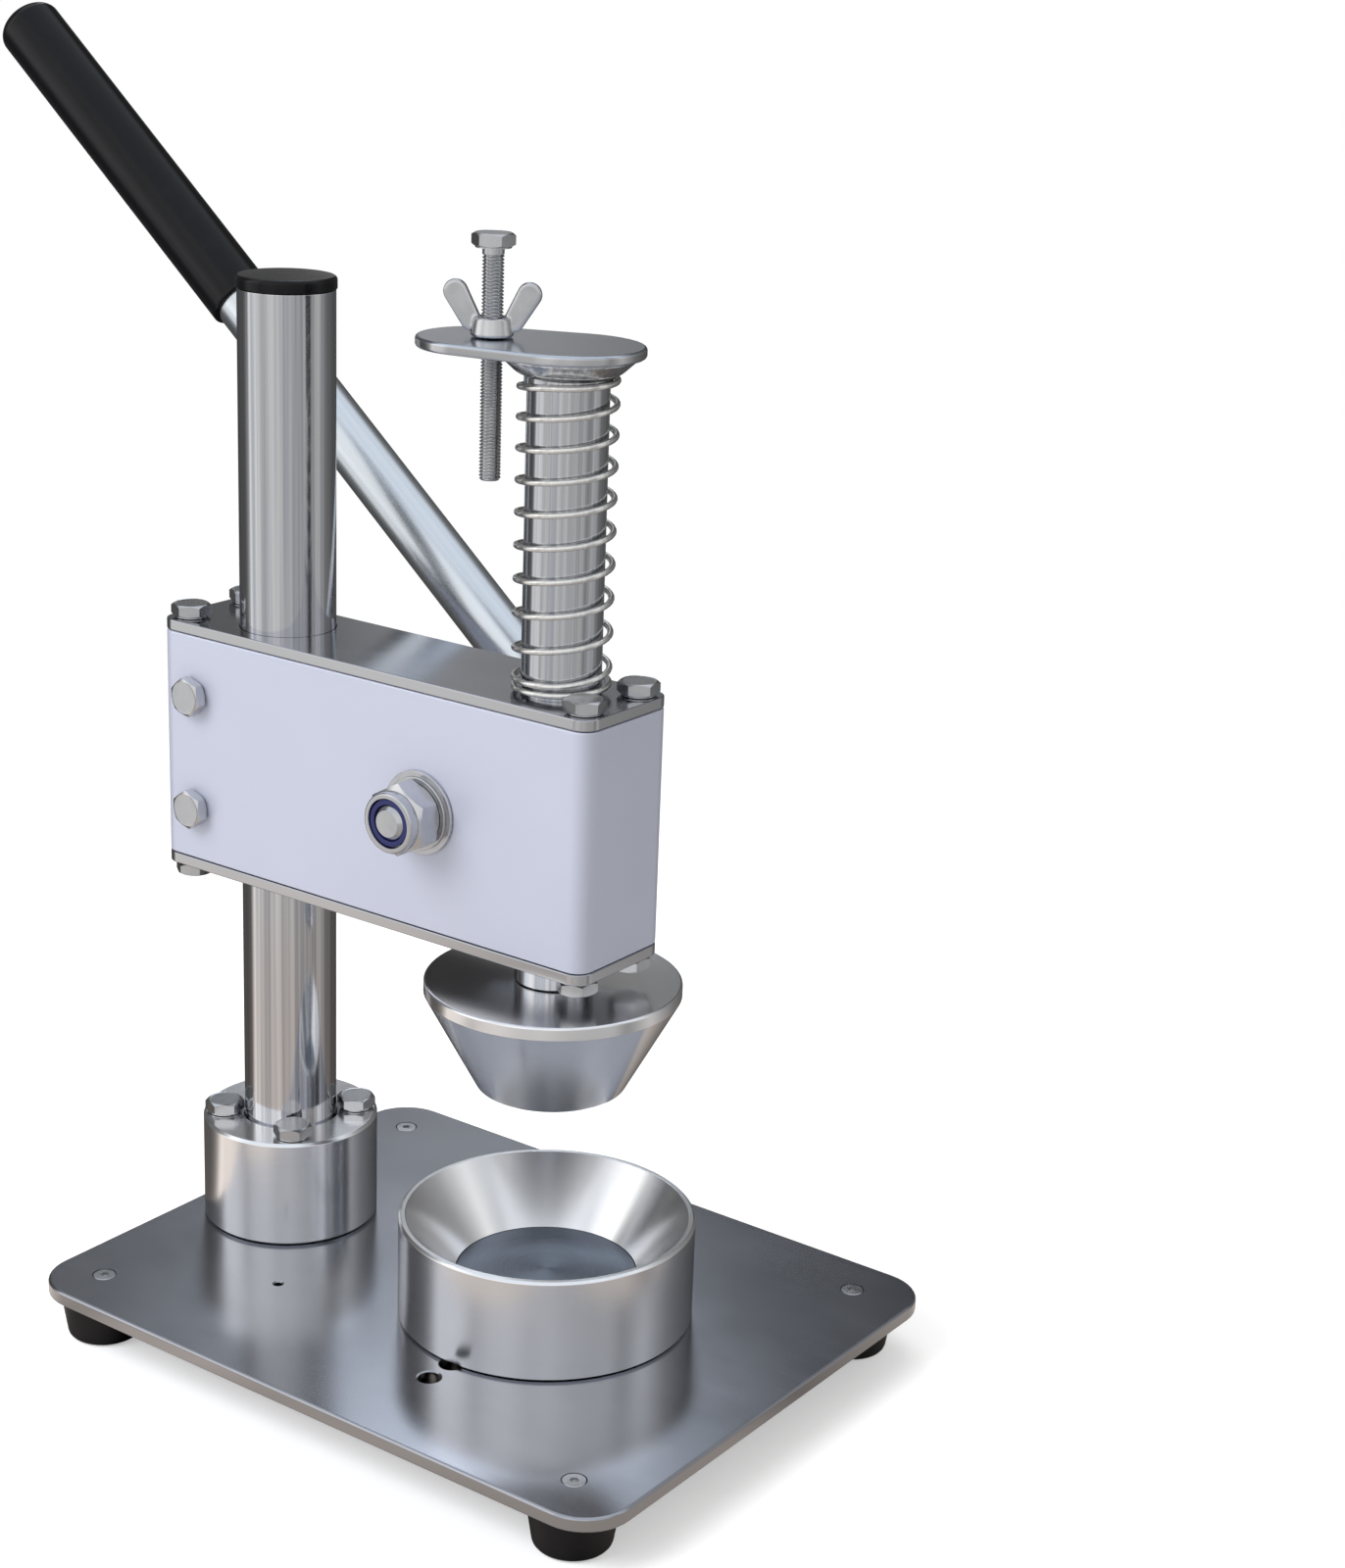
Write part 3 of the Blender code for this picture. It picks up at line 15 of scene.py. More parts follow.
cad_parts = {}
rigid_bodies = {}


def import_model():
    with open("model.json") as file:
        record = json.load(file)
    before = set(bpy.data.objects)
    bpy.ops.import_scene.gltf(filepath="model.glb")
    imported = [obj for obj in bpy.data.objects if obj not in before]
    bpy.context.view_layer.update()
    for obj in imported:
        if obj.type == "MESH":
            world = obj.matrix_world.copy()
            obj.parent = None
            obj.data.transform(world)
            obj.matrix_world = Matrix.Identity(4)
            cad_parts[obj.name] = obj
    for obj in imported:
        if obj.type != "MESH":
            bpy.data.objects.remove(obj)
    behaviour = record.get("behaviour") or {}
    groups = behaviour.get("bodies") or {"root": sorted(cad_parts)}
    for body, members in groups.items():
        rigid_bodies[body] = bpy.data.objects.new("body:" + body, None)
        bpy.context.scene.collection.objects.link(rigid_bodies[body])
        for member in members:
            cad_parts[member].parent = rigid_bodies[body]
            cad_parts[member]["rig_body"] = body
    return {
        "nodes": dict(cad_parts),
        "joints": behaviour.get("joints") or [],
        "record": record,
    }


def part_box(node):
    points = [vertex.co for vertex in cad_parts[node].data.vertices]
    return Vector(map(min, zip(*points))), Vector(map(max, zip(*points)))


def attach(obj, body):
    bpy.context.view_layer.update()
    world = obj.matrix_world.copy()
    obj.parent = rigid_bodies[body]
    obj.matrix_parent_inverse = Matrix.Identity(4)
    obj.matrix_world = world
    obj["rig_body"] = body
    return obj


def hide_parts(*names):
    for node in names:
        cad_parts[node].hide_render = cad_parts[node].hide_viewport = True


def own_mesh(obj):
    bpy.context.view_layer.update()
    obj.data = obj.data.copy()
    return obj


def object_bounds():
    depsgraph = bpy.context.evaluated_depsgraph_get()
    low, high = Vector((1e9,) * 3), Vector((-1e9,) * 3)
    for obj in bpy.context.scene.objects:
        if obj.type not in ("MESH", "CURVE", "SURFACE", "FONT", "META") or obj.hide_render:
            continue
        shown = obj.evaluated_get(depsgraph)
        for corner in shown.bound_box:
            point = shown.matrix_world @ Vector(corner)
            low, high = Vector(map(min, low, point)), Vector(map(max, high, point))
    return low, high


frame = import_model()
cad_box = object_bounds()

# Sides and steps of round shapes, as counts, and the angle at which an edge stays sharp
ROUND_SIDES = 128
SMALL_SIDES = 48
HEX_SIDES = 48
FILLET_STEPS = 4
CORNER_STEPS = 10
THREAD_SIDES = 24
THREAD_ROWS_PER_TURN = 6
SPRING_POINTS_PER_TURN = 40
SPRING_WIRE_STEPS = 4
WING_SMOOTH_STEPS = 5
SHARP_ANGLE = radians(35)

# Clearances
FIT_GAP = 0.0003
CUT_OVERRUN = 0.003

# Base plate, feet and screws
PLATE_CORNER_RADIUS = 0.020
PLATE_EDGE_RADIUS = 0.0012
FOOT_TOP_RADIUS = 0.0172
FOOT_BOTTOM_RADIUS = 0.0145
FOOT_EDGE_RADIUS = 0.003
SCREW_HEAD_RADIUS = 0.0045
SCREW_SHANK_RADIUS = 0.0025
SCREW_HEAD_HEIGHT = 0.0022
FOOT_SCREW = (SCREW_HEAD_RADIUS, SCREW_SHANK_RADIUS, SCREW_HEAD_HEIGHT)
SCREW_SOCKET_SHARE = 0.69
SCREW_SOCKET_DEPTH = 0.0014
SCREW_RIM_RADIUS = 0.0003
DIE_SCREW_HEAD_RADIUS = 0.0055
DIE_SCREW_SHANK_RADIUS = 0.003
DIE_SCREW_HEAD_HEIGHT = 0.0028
DIE_SCREW = (DIE_SCREW_HEAD_RADIUS, DIE_SCREW_SHANK_RADIUS, DIE_SCREW_HEAD_HEIGHT)
PILOT_HOLE_RADIUS = 0.0018
PILOT_HOLE_FROM_COLUMN = (0.0428, -0.053)
SPARE_HOLE_RADIUS = 0.0045
SPARE_HOLES_FROM_DIE = ((0, -0.0703), (0, -0.0575))
HOLE_EDGE_RADIUS = 0.0005

# Hex bolts and nuts
BOLT_RADIUS = 0.004
BOLT_HOLE_RADIUS = BOLT_RADIUS + FIT_GAP
BOLT_FLATS = 0.014
BOLT_HEAD_HEIGHT = 0.0053
BOLT_WASHER_FACE_HEIGHT = 0.0004
BOLT_THREAD_PITCH = 0.00125
THREAD_DEPTH_SHARE = 0.55
THREAD_FLAT_SHARE = 0.18
HEX_CHAMFER_ANGLE = radians(30)
CLAMP_NUT_BORE_RADIUS = 0.0043
BOLT_TURN = radians(8)
BOLT_TURN_SPREAD = radians(5)
STOP_BOLT_PLAIN = 0.001

# Column, collar and die
COLUMN_WALL = 0.002
CAP_EDGE_RADIUS = 0.0016
COLLAR_CHAMFER = 0.0011
COLLAR_EDGE_RADIUS = 0.0003
DIE_CHAMFER = 0.0009
DIE_EDGE_RADIUS = 0.0004
DIE_MOUTH_RADIUS = 0.0557
DIE_FLOOR_RADIUS = 0.0359
DIE_LEDGE_WIDTH = 0.007

# Punch
PUNCH_TIP_RADIUS = 0.0287
PUNCH_LAND_HEIGHT = 0.005
PUNCH_EDGE_RADIUS = 0.0010
PUNCH_TIP_EDGE_RADIUS = 0.0022

# Head
HOUSING_CORNER_RADIUS = 0.007
HOUSING_EDGE_RADIUS = 0.0007
COVER_EDGE_RADIUS = 0.0005
CLAMP_SLIT_WIDTH = 0.003

# Ram and its rack
RAM_RADIUS = 0.015
RAM_EDGE_RADIUS = 0.0006
RACK_MODULE = 0.002
RACK_DEPTH = 0.00416
RACK_FLAT_DEPTH = 0.0002
RACK_HALF_WIDTH = 0.006
RACK_ADDENDUM = 0.00176
RACK_BACKLASH = 0.0006
RACK_PRESSURE_ANGLE = radians(20)
RACK_FIRST_SPACE = -2
RACK_LAST_SPACE = 15

# Shaft end
WASHER_BORE_RADIUS = 0.0071
WASHER_STEP_RADIUS = 0.0143
WASHER_STEP_HEIGHT = 0.0011
LOCK_NUT_FLATS = 0.025
LOCK_NUT_HEX_HEIGHT = 0.0112
LOCK_NUT_CROWN_RADIUS = 0.0118
LOCK_NUT_FLANGE_RADIUS = 0.0122
LOCK_NUT_FLANGE_HEIGHT = 0.0009
NUT_INSERT_RADIUS = 0.0094
NUT_INSERT_RECESS = 0.0006
SHAFT_THREAD_RADIUS = 0.0068
SHAFT_END_CHAMFER = 0.0016

# Lever
LEVER_REST_ANGLE = radians(140.3)
LEVER_PLANE_Y = 0.080
LEVER_REACH = 0.4233
LEVER_TUBE_START = 0.0073
LEVER_TUBE_RADIUS = 0.012
LEVER_TUBE_WALL = 0.002
GRIP_RADIUS = 0.0139
GRIP_LENGTH = 0.1726
GRIP_DOME_HEIGHT = 0.008
GRIP_END_WALL = 0.006
GRIP_DOME_STEPS = 16
GRIP_MOUTH_EDGE_RADIUS = 0.0012
HUB_EDGE_RADIUS = 0.0012

# Stop plate, spring collar, stop bolt and wing nut
STOP_PLATE_RAM_RADIUS = 0.0278
STOP_PLATE_END_RADIUS = 0.024
STOP_PLATE_END_OFFSET = 0.034
STOP_PLATE_YAW = radians(16.5)
STOP_PLATE_EDGE_RADIUS = 0.0011
STOP_BOLT_OFFSET = 0.030
SPRING_NECK_WALL = 0.0008
SPRING_NECK_HEIGHT = 0.00245
SPRING_SEAT_WIDTH = 0.0034
SPRING_SEAT_RISE = 0.0017
SPRING_SEAT_RADIUS = 0.008
SPRING_FLARE_WIDTH = 0.005
SPRING_RIM_HEIGHT = 0.00065
WING_HUB_BASE_RADIUS = 0.0080
WING_HUB_TOP_RADIUS = 0.0068
WING_HUB_HEIGHT = 0.007
WING_ROOT_REACH = 0.0078
WING_ROOT_HEIGHT = 0.0055
WING_ROOT_RADIUS = 0.0038
WING_TIP_REACH = 0.0134
WING_TIP_HEIGHT = 0.0154
WING_TIP_RADIUS = 0.0045
WING_THICKNESS = 0.003
WING_EDGE_RADIUS = 0.0009
WING_YAW = radians(30)
WING_VOXEL = 0.00035

# Return spring
SPRING_WIRE_RADIUS = 0.00115
SPRING_COIL_RADIUS = 0.01765
SPRING_TURNS = 10.75
SPRING_BOTTOM_CLOSED_TURNS = 1.45
SPRING_TOP_CLOSED_TURNS = 0.35
SPRING_CLOSED_PITCH = 0.0034
SPRING_UPWARD_BULGE = 0.0029
SPRING_START_ANGLE = radians(141.3)

# Camera of the photograph, from the column's foot on the plate's upper face
CAMERA_PLACE = (0.74770, -0.78869, 0.54277)
CAMERA_AZIMUTH = radians(35.28)
CAMERA_ELEVATION = radians(17.90)
CAMERA_ROLL = radians(2.23)
PHOTO_HEIGHT_PIXELS = 1600
FOCAL_PIXELS = 2857.9
SENSOR_MILLIMETRES = 36
CAMERA_CLIP_START = 0.05

# Floor; the shares are of the base plate's half length and half width
FLOOR_REACH = 6
SHADOW_REACH = 0.5
TINT_START = 0.3
TINT_END = 0.65
FLOOR_COLOUR = (0.86, 0.86, 0.86, 1)
FLOOR_GLOW = 0.42
# Where the painted shadow under the base plate fades out: in the floor's glow to the camera, and in the
# floor as metal mirrors it
GLOW_SHADOW_SHARES = (0.60, 0.74)
SHINE_SHADOW_SHARES = (0.86, 1.0)

# Depth of the fine relief in each kind of surface
DRAWN_MARK_DEPTH = 0.00002
TURNED_MARK_DEPTH = 0.000003
BRUSHED_MARK_DEPTH = 0.0000015
FORGED_MARK_DEPTH = 0.00002
BLOCK_GRAIN_DEPTH = 0.000015
RUBBER_GRAIN_DEPTH = 0.00004
PLASTIC_GRAIN_DEPTH = 0.000004
NYLON_GRAIN_DEPTH = 0.00002

# Lamps: azimuth and elevation in degrees, distance and width in metres, power in watts, colour
LAMPS = {
    "key": (-115, 38, 1.9, 1.2, 31, (0.94, 0.965, 1.0)),
    "fill": (-30, 30, 2.2, 1.4, 1.5, (1.0, 0.94, 0.86)),
    "top": (110, 70, 1.8, 1.2, 9, (1.0, 1.0, 1.0)),
}

record = frame["record"]
slot_of = {entry["node"]: entry["material_slot"] for entry in record["subparts"]}
joint_of = {joint["name"]: joint for joint in frame["joints"]}


# Places from the frame

def middle(node):
    low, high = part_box(node)
    return (low + high) / 2


def size(node):
    low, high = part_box(node)
    return high - low


def low_z(node):
    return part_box(node)[0].z


def high_z(node):
    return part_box(node)[1].z


def nodes_named(*starts):
    return sorted(node for node in frame["nodes"] if node.startswith(starts))


column_axis = middle("column_tube")
ram_axis = middle("ram_bush_upper")
shaft_axis = Vector(joint_of["lever_turn"]["pos_m"])
stop_axis = Vector(joint_of["wing_nut_turn"]["pos_m"])
column_foot = (column_axis.x, column_axis.y, 0)
ram_foot = (ram_axis.x, ram_axis.y, 0)


# Outlines

def arc(centre, radius, start, end, steps):
    return [
        (
            centre[0] + radius * cos(start + (end - start) * step / steps),
            centre[1] + radius * sin(start + (end - start) * step / steps),
        )
        for step in range(steps + 1)
    ]


def rounded(corners, steps=FILLET_STEPS):
    """Closed outline through (x, y, radius) corners, each rounded by an arc of its radius."""
    points = []
    for place, (x, y, radius) in enumerate(corners):
        here = Vector((x, y))
        if radius == 0:
            points.append((x, y))
            continue
        before = (Vector(corners[place - 1][:2]) - here).normalized()
        after = (Vector(corners[(place + 1) % len(corners)][:2]) - here).normalized()
        half = before.angle(after) / 2
        centre = here + (before + after).normalized() * (radius / sin(half))
        first = here + before * (radius / tan(half)) - centre
        last = here + after * (radius / tan(half)) - centre
        start = atan2(first.y, first.x)
        swing = (atan2(last.y, last.x) - start + pi) % tau - pi
        points += arc(centre, radius, start, start + swing, steps)
    return points


def rim_outline(inner, outer, low, high, edge):
    """Outline of a ring or disc whose two outer edges are rounded."""
    return rounded([(inner, low, 0), (outer, low, edge), (outer, high, edge), (inner, high, 0)])


def rectangle_outline(half_length, half_width, radius):
    """Function that gives a rounded rectangle's outline, drawn in by an inset."""

    def outline(inset):
        x = half_length - inset
        y = half_width - inset
        corner = radius - inset
        return rounded([(x, -y, corner), (x, y, corner), (-x, y, corner), (-x, -y, corner)], CORNER_STEPS)

    return outline


def two_circle_outline(first, first_radius, second, second_radius):
    """Function that gives the outline round two circles, drawn in by an inset."""

    def outline(inset):
        along = Vector(second) - Vector(first)
        heading = atan2(along.y, along.x)
        spread = acos((first_radius - second_radius) / along.length)
        steps = 2 * CORNER_STEPS
        near = arc(second, second_radius - inset, heading - spread, heading + spread, steps)
        turn = heading + tau - spread
        return near + arc(first, first_radius - inset, heading + spread, turn, steps)

    return outline


# Mesh makers

def polar(reach, angle, height):
    return (reach * cos(angle), reach * sin(angle), height)


def circle_ring(radius, height, count=HEX_SIDES):
    return [polar(radius, tau * step / count, height) for step in range(count)]


def hex_reach(flats, angle):
    """Distance from the middle of a hexagon to its side in one direction."""
    sixth = tau / 6
    return flats / 2 / cos((angle + sixth / 2) % sixth - sixth / 2)


def hex_ring(flats, height, crown=None, slope=-1):
    """Ring round a hexagon; with a crown radius, its corners slope away on a chamfer."""
    ring = []
    for step in range(HEX_SIDES):
        angle = tau * step / HEX_SIDES
        reach = hex_reach(flats, angle)
        drop = 0 if crown is None else max(0, reach - crown) * tan(HEX_CHAMFER_ANGLE)
        ring.append(polar(reach, angle, height + slope * drop))
    return ring


def lofted(rings, closed=False):
    """Mesh through rings of equally many points, capped unless it closes on itself."""
    mesh = bmesh.new()
    loops = [[mesh.verts.new(point) for point in ring] for ring in rings]
    for lower, upper in zip(loops, loops[1:] + loops[:1] if closed else loops[1:]):
        for step in range(len(lower)):
            after = (step + 1) % len(lower)
            mesh.faces.new((lower[step], lower[after], upper[after], upper[step]))
    if not closed:
        mesh.faces.new(loops[0])
        mesh.faces.new(loops[-1])
    bmesh.ops.recalc_face_normals(mesh, faces=mesh.faces)
    return mesh


def lathed(profile, sides=ROUND_SIDES):
    """Mesh turned about Z from a closed outline of (radius, height) points."""
    mesh = bmesh.new()
    rings = []
    for radius, height in profile:
        if radius <= 0:
            rings.append([mesh.verts.new((0, 0, height))] * sides)
        else:
            rings.append([mesh.verts.new(point) for point in circle_ring(radius, height, sides)])
    for lower, upper in zip(rings, rings[1:] + rings[:1]):
        if lower[0] is lower[1] and upper[0] is upper[1]:
            continue
        for step in range(sides):
            after = (step + 1) % sides
            corners = [lower[step], lower[after], upper[after], upper[step]]
            mesh.faces.new(list(dict.fromkeys(corners)))
    bmesh.ops.recalc_face_normals(mesh, faces=mesh.faces)
    return mesh


def slab(outline, low, high, edge):
    """Plate over an outline, with its upper and lower edges rounded."""
    fillet = [(edge - z, edge - x) for x, z in arc((0, 0), edge, 0, tau / 4, FILLET_STEPS)]
    rings = [(inset, low + rise) for inset, rise in fillet]
    rings += [(inset, high - rise) for inset, rise in reversed(fillet)]
    return lofted([[(x, y, height) for x, y in outline(inset)] for inset, height in rings])


def cylinder(radius, low, high, sides=SMALL_SIDES):
    return lofted([circle_ring(radius, low, sides), circle_ring(radius, high, sides)])


def box_mesh(low, high):
    outline = [(low[0], low[1]), (high[0], low[1]), (high[0], high[1]), (low[0], high[1])]
    return lofted([[(x, y, z) for x, y in outline] for z in (low[2], high[2])])


def hex_head(flats, height):
    """Rings of a bolt head, from the washer face up to its round top."""
    crown = flats / 2 - BOLT_WASHER_FACE_HEIGHT
    rise = BOLT_WASHER_FACE_HEIGHT
    return [
        circle_ring(crown, 0),
        circle_ring(crown, rise),
        hex_ring(flats, rise, crown, 1),
        hex_ring(flats, height, crown),
        circle_ring(crown, height),
        circle_ring(crown - 2 * rise, height - rise / 2),
    ]


def hex_bolt(length):
    """Hex bolt with its head above zero and a plain shank below."""
    shank = [
        circle_ring(BOLT_RADIUS - BOLT_WASHER_FACE_HEIGHT, -length),
        circle_ring(BOLT_RADIUS, BOLT_WASHER_FACE_HEIGHT - length),
        circle_ring(BOLT_RADIUS, 0),
    ]
    return lofted(shank + hex_head(BOLT_FLATS, BOLT_HEAD_HEIGHT))


def thread_ring(radius, pitch, height, room):
    """One ring of a thread, limited by the room that is left to the rod's end."""
    depth = THREAD_DEPTH_SHARE * pitch
    ring = []
    for side in range(THREAD_SIDES):
        phase = (height / pitch - side / THREAD_SIDES) % 1
        climb = (abs(2 * phase - 1) - THREAD_FLAT_SHARE) / (1 - 2 * THREAD_FLAT_SHARE)
        reach = radius - depth * min(1, max(0, climb))
        reach = min(reach, radius - depth + room)
        ring.append(polar(reach, tau * side / THREAD_SIDES, height))
    return ring


def threaded_bolt(length, unthreaded):
    """Hex bolt whose shank is threaded up to a short plain stretch under the head."""
    rows = round((length - unthreaded) / BOLT_THREAD_PITCH * THREAD_ROWS_PER_TURN)
    rings = []
    for row in range(rows + 1):
        height = -length + (length - unthreaded) * row / rows
        rings.append(thread_ring(BOLT_RADIUS, BOLT_THREAD_PITCH, height, height + length))
    shank = lofted(rings)
    neck = cylinder(BOLT_RADIUS, -unthreaded - BOLT_THREAD_PITCH, BOLT_THREAD_PITCH, THREAD_SIDES)
    head = lofted(hex_head(BOLT_FLATS, BOLT_HEAD_HEIGHT))
    return shank, neck, head


# Object makers

def smoothed(data):
    """Shades a mesh smooth, with its sharp edges kept."""
    data.shade_smooth()
    data.set_sharp_from_angle(angle=SHARP_ANGLE)


def in_scene(name, data):
    """New object in the scene's own collection."""
    made = bpy.data.objects.new(name, data)
    bpy.context.scene.collection.objects.link(made)
    return made


def placed(name, mesh, at=(0, 0, 0), turn=None):
    """Object with smooth shading, at a place and turned by a matrix."""
    data = bpy.data.meshes.new(name)
    mesh.to_mesh(data)
    mesh.free()
    smoothed(data)
    made = in_scene(name, data)
    made.matrix_world = Matrix.Translation(at) @ (turn or Matrix.Identity(4))
    return made


def combine(target, mesh, operation, at=(0, 0, 0), turn=None):
    """Cuts a hidden shape from a piece, or joins it on, in the piece's own axes."""
    tool = placed(f"{target.name}_tool_{len(target.modifiers)}", mesh)
    tool.parent = target
    tool.matrix_parent_inverse = Matrix.Identity(4)
    tool.matrix_local = Matrix.Translation(at) @ (turn or Matrix.Identity(4))
    tool.hide_render = True
    tool.hide_viewport = True
    step = target.modifiers.new(tool.name, "BOOLEAN")
    step.operation = operation
    step.solver = "EXACT"
    step.object = tool


def cut(target, mesh, at=(0, 0, 0), turn=None):
    combine(target, mesh, "DIFFERENCE", at, turn)


def join(target, mesh, at=(0, 0, 0), turn=None):
    combine(target, mesh, "UNION", at, turn)


def drill(made, nodes, radius, low, high):
    """Cuts an upright hole through a piece at each node's place."""
    for node in nodes:
        offset = middle(node) - made.location
        cut(made, cylinder(radius, low, high), (offset.x, offset.y, 0))


def frozen(made):
    """Applies the piece's modifiers and removes their tools."""
    bpy.context.view_layer.update()
    graph = bpy.context.evaluated_depsgraph_get()
    data = bpy.data.meshes.new_from_object(made.evaluated_get(graph))
    for tool in list(made.children):
        bpy.data.objects.remove(tool)
    made.modifiers.clear()
    made.data = data
    smoothed(data)
    return made


def stand_for(node, made):
    """Gives a piece its finish and puts it on the frame in a CAD node's place."""
    made.data.materials.clear()
    made.data.materials.append(finishes[OWN_FINISHES.get(node, slot_of[node])])
    weights = made.modifiers.new("weighted_normals", "WEIGHTED_NORMAL")
    weights.keep_sharp = True
    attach(made, frame["nodes"][node]["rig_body"])
    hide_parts(node)


def piece(node, mesh, at=(0, 0, 0), turn=None):
    stand_for(node, placed(f"{node}_detailed", mesh, at, turn))


def upside_down():
    return Matrix.Rotation(pi, 4, "X")


def facing_near():
    """Turn that points a piece's Z towards the lock nut side."""
    return Matrix.Rotation(tau / 4, 4, "X")


def facing_far():
    return Matrix.Rotation(-tau / 4, 4, "X")


# Node helpers

def add(tree, kind, inputs=None, **settings):
    """Adds a shader node; inputs are sockets to link or constant values to set."""
    made = tree.nodes.new(kind)
    for name, value in settings.items():
        setattr(made, name, value)
    for name, value in (inputs or {}).items():
        if isinstance(value, bpy.types.NodeSocket):
            tree.links.new(value, made.inputs[name])
        else:
            made.inputs[name].default_value = value
    return made


def own_place(tree):
    return add(tree, "ShaderNodeTexCoord").outputs["Object"]


def maths(tree, operation, *values):
    made = add(tree, "ShaderNodeMath", dict(enumerate(values)), operation=operation)
    return made.outputs["Value"]


def vector_maths(tree, operation, *values, output="Vector"):
    made = add(tree, "ShaderNodeVectorMath", dict(enumerate(values)), operation=operation)
    return made.outputs[output]


def ranged(tree, value, start, end, curve="LINEAR"):
    """Maps a value from its own range onto 0 to 1."""
    inputs = {"Value": value, "From Min": start, "From Max": end}
    return add(tree, "ShaderNodeMapRange", inputs, interpolation_type=curve).outputs["Result"]


def stretched_noise(tree, scales, detail=4):
    """Noise drawn out along the axes with small scales, from 0 to 1."""
    mapping = add(tree, "ShaderNodeMapping", {"Vector": own_place(tree), "Scale": scales})
    inputs = {"Vector": mapping.outputs["Vector"], "Scale": 1, "Detail": detail, "Roughness": 0.6}
    return add(tree, "ShaderNodeTexNoise", inputs).outputs["Fac"]


def turning_marks(tree, density):
    """Fine lines round Z, as a lathe tool leaves them: noise over radius and height only."""
    parts = add(tree, "ShaderNodeSeparateXYZ", {"Vector": own_place(tree)}).outputs
    flat = add(tree, "ShaderNodeCombineXYZ", {"X": parts["X"], "Y": parts["Y"]}).outputs["Vector"]
    radius = vector_maths(tree, "LENGTH", flat, output="Value")
    line = add(tree, "ShaderNodeCombineXYZ", {"X": radius, "Y": parts["Z"]}).outputs["Vector"]
    inputs = {"Vector": line, "Scale": density, "Detail": 3, "Roughness": 0.7}
    return add(tree, "ShaderNodeTexNoise", inputs, noise_dimensions="2D").outputs["Fac"]


def spread(tree, value, low, high):
    """Maps a value from 0..1 onto a range."""
    mapped = add(tree, "ShaderNodeMapRange", {"Value": value, "To Min": low, "To Max": high})
    return mapped.outputs["Result"]


def blended(tree, factor, first, second):
    mix = add(tree, "ShaderNodeMix", data_type="RGBA")
    for name, value in (("A", first), ("B", second)):
        socket = next(s for s in mix.inputs if s.name == name and s.type == "RGBA")
        if isinstance(value, bpy.types.NodeSocket):
            tree.links.new(value, socket)
        else:
            socket.default_value = (*value, 1)
    tree.links.new(factor, mix.inputs["Factor"])
    return next(s for s in mix.outputs if s.type == "RGBA")


def bumped(tree, height, depth):
    inputs = {"Height": height, "Distance": depth, "Strength": 1.0}
    return add(tree, "ShaderNodeBump", inputs).outputs["Normal"]


def new_finish(name, metallic, **constants):
    """Material with a principled shader and its constant sockets set."""
    made = bpy.data.materials.new(name)
    made.use_nodes = True
    tree = made.node_tree
    shader = tree.nodes["Principled BSDF"]
    shader.inputs["Metallic"].default_value = metallic
    for socket, value in constants.items():
        shader.inputs[socket.replace("_", " ")].default_value = value
    return made, tree, shader


def smudges(tree, scale):
    """Broad soft patches, as handling leaves on metal."""
    return stretched_noise(tree, (scale, scale, scale), 2)


def skinned(tree, shader, colour, level, height, depth):
    """Links a finish's colour, roughness and fine relief to its shader."""
    tree.links.new(colour, shader.inputs["Base Color"])
    tree.links.new(level, shader.inputs["Roughness"])
    tree.links.new(bumped(tree, height, depth), shader.inputs["Normal"])


# Finishes

def drawn_steel(name, dark, light, roughness):
    """Polished tube or bar with faint lines along its length."""
    made, tree, shader = new_finish(name, 1.0)
    lines = stretched_noise(tree, (520, 520, 2))
    colour = blended(tree, ranged(tree, lines, 0.36, 0.64), dark, light)
    uneven = maths(tree, "MULTIPLY", lines, smudges(tree, 60))
    level = spread(tree, uneven, roughness - 0.05, roughness + 0.12)
    skinned(tree, shader, colour, level, lines, DRAWN_MARK_DEPTH)
    return made


def turned_metal(name, dark, light, roughness):
    """Lathe-turned metal with fine lines round its axis."""
    made, tree, shader = new_finish(name, 1.0, Anisotropic=0.55, Anisotropic_Rotation=0.25)
    marks = turning_marks(tree, 4200)
    colour = blended(tree, smudges(tree, 45), dark, light)
    level = spread(tree, marks, roughness - 0.05, roughness + 0.07)
    skinned(tree, shader, colour, level, marks, TURNED_MARK_DEPTH)
    tangent = add(tree, "ShaderNodeTangent", direction_type="RADIAL", axis="Z")
    tree.links.new(tangent.outputs["Tangent"], shader.inputs["Tangent"])
    return made


def brushed_plate(name, dark, light, roughness, cut_edge_light_and_shade):
    """Flat satin steel, finely brushed along X; its upright faces get a colour of their own: partly the cut
    edge's look, partly painted light and shade.
    """
    made, tree, shader = new_finish(name, 1.0)
    lines = stretched_noise(tree, (25, 1400, 1400))
    patches = stretched_noise(tree, (14, 22, 22), 5)
    face = blended(tree, patches, dark, light)
    outward = add(tree, "ShaderNodeNewGeometry").outputs["Normal"]
    normal = add(tree, "ShaderNodeSeparateXYZ", {"Vector": outward}).outputs
    upright = maths(tree, "ABSOLUTE", normal["Z"])
    # Upright faces, the cut edges and the hole walls, take the side colour: partly the cut edge's own look,
    # partly painted light and shade of the sides and painted shade in the holes.
    colour = blended(tree, ranged(tree, upright, 0.25, 0.05), face, cut_edge_light_and_shade)
    uneven = maths(tree, "MULTIPLY", lines, patches)
    level = spread(tree, uneven, roughness - 0.05, roughness + 0.11)
    skinned(tree, shader, colour, level, lines, BRUSHED_MARK_DEPTH)
    return made


def fastener_metal(name, dark, light, roughness):
    """Stainless fastener with a slightly uneven, forged skin."""
    made, tree, shader = new_finish(name, 1.0)
    patches = smudges(tree, 90)
    colour = blended(tree, patches, dark, light)
    level = spread(tree, patches, roughness - 0.06, roughness + 0.10)
    skinned(tree, shader, colour, level, smudges(tree, 260), FORGED_MARK_DEPTH)
    return made


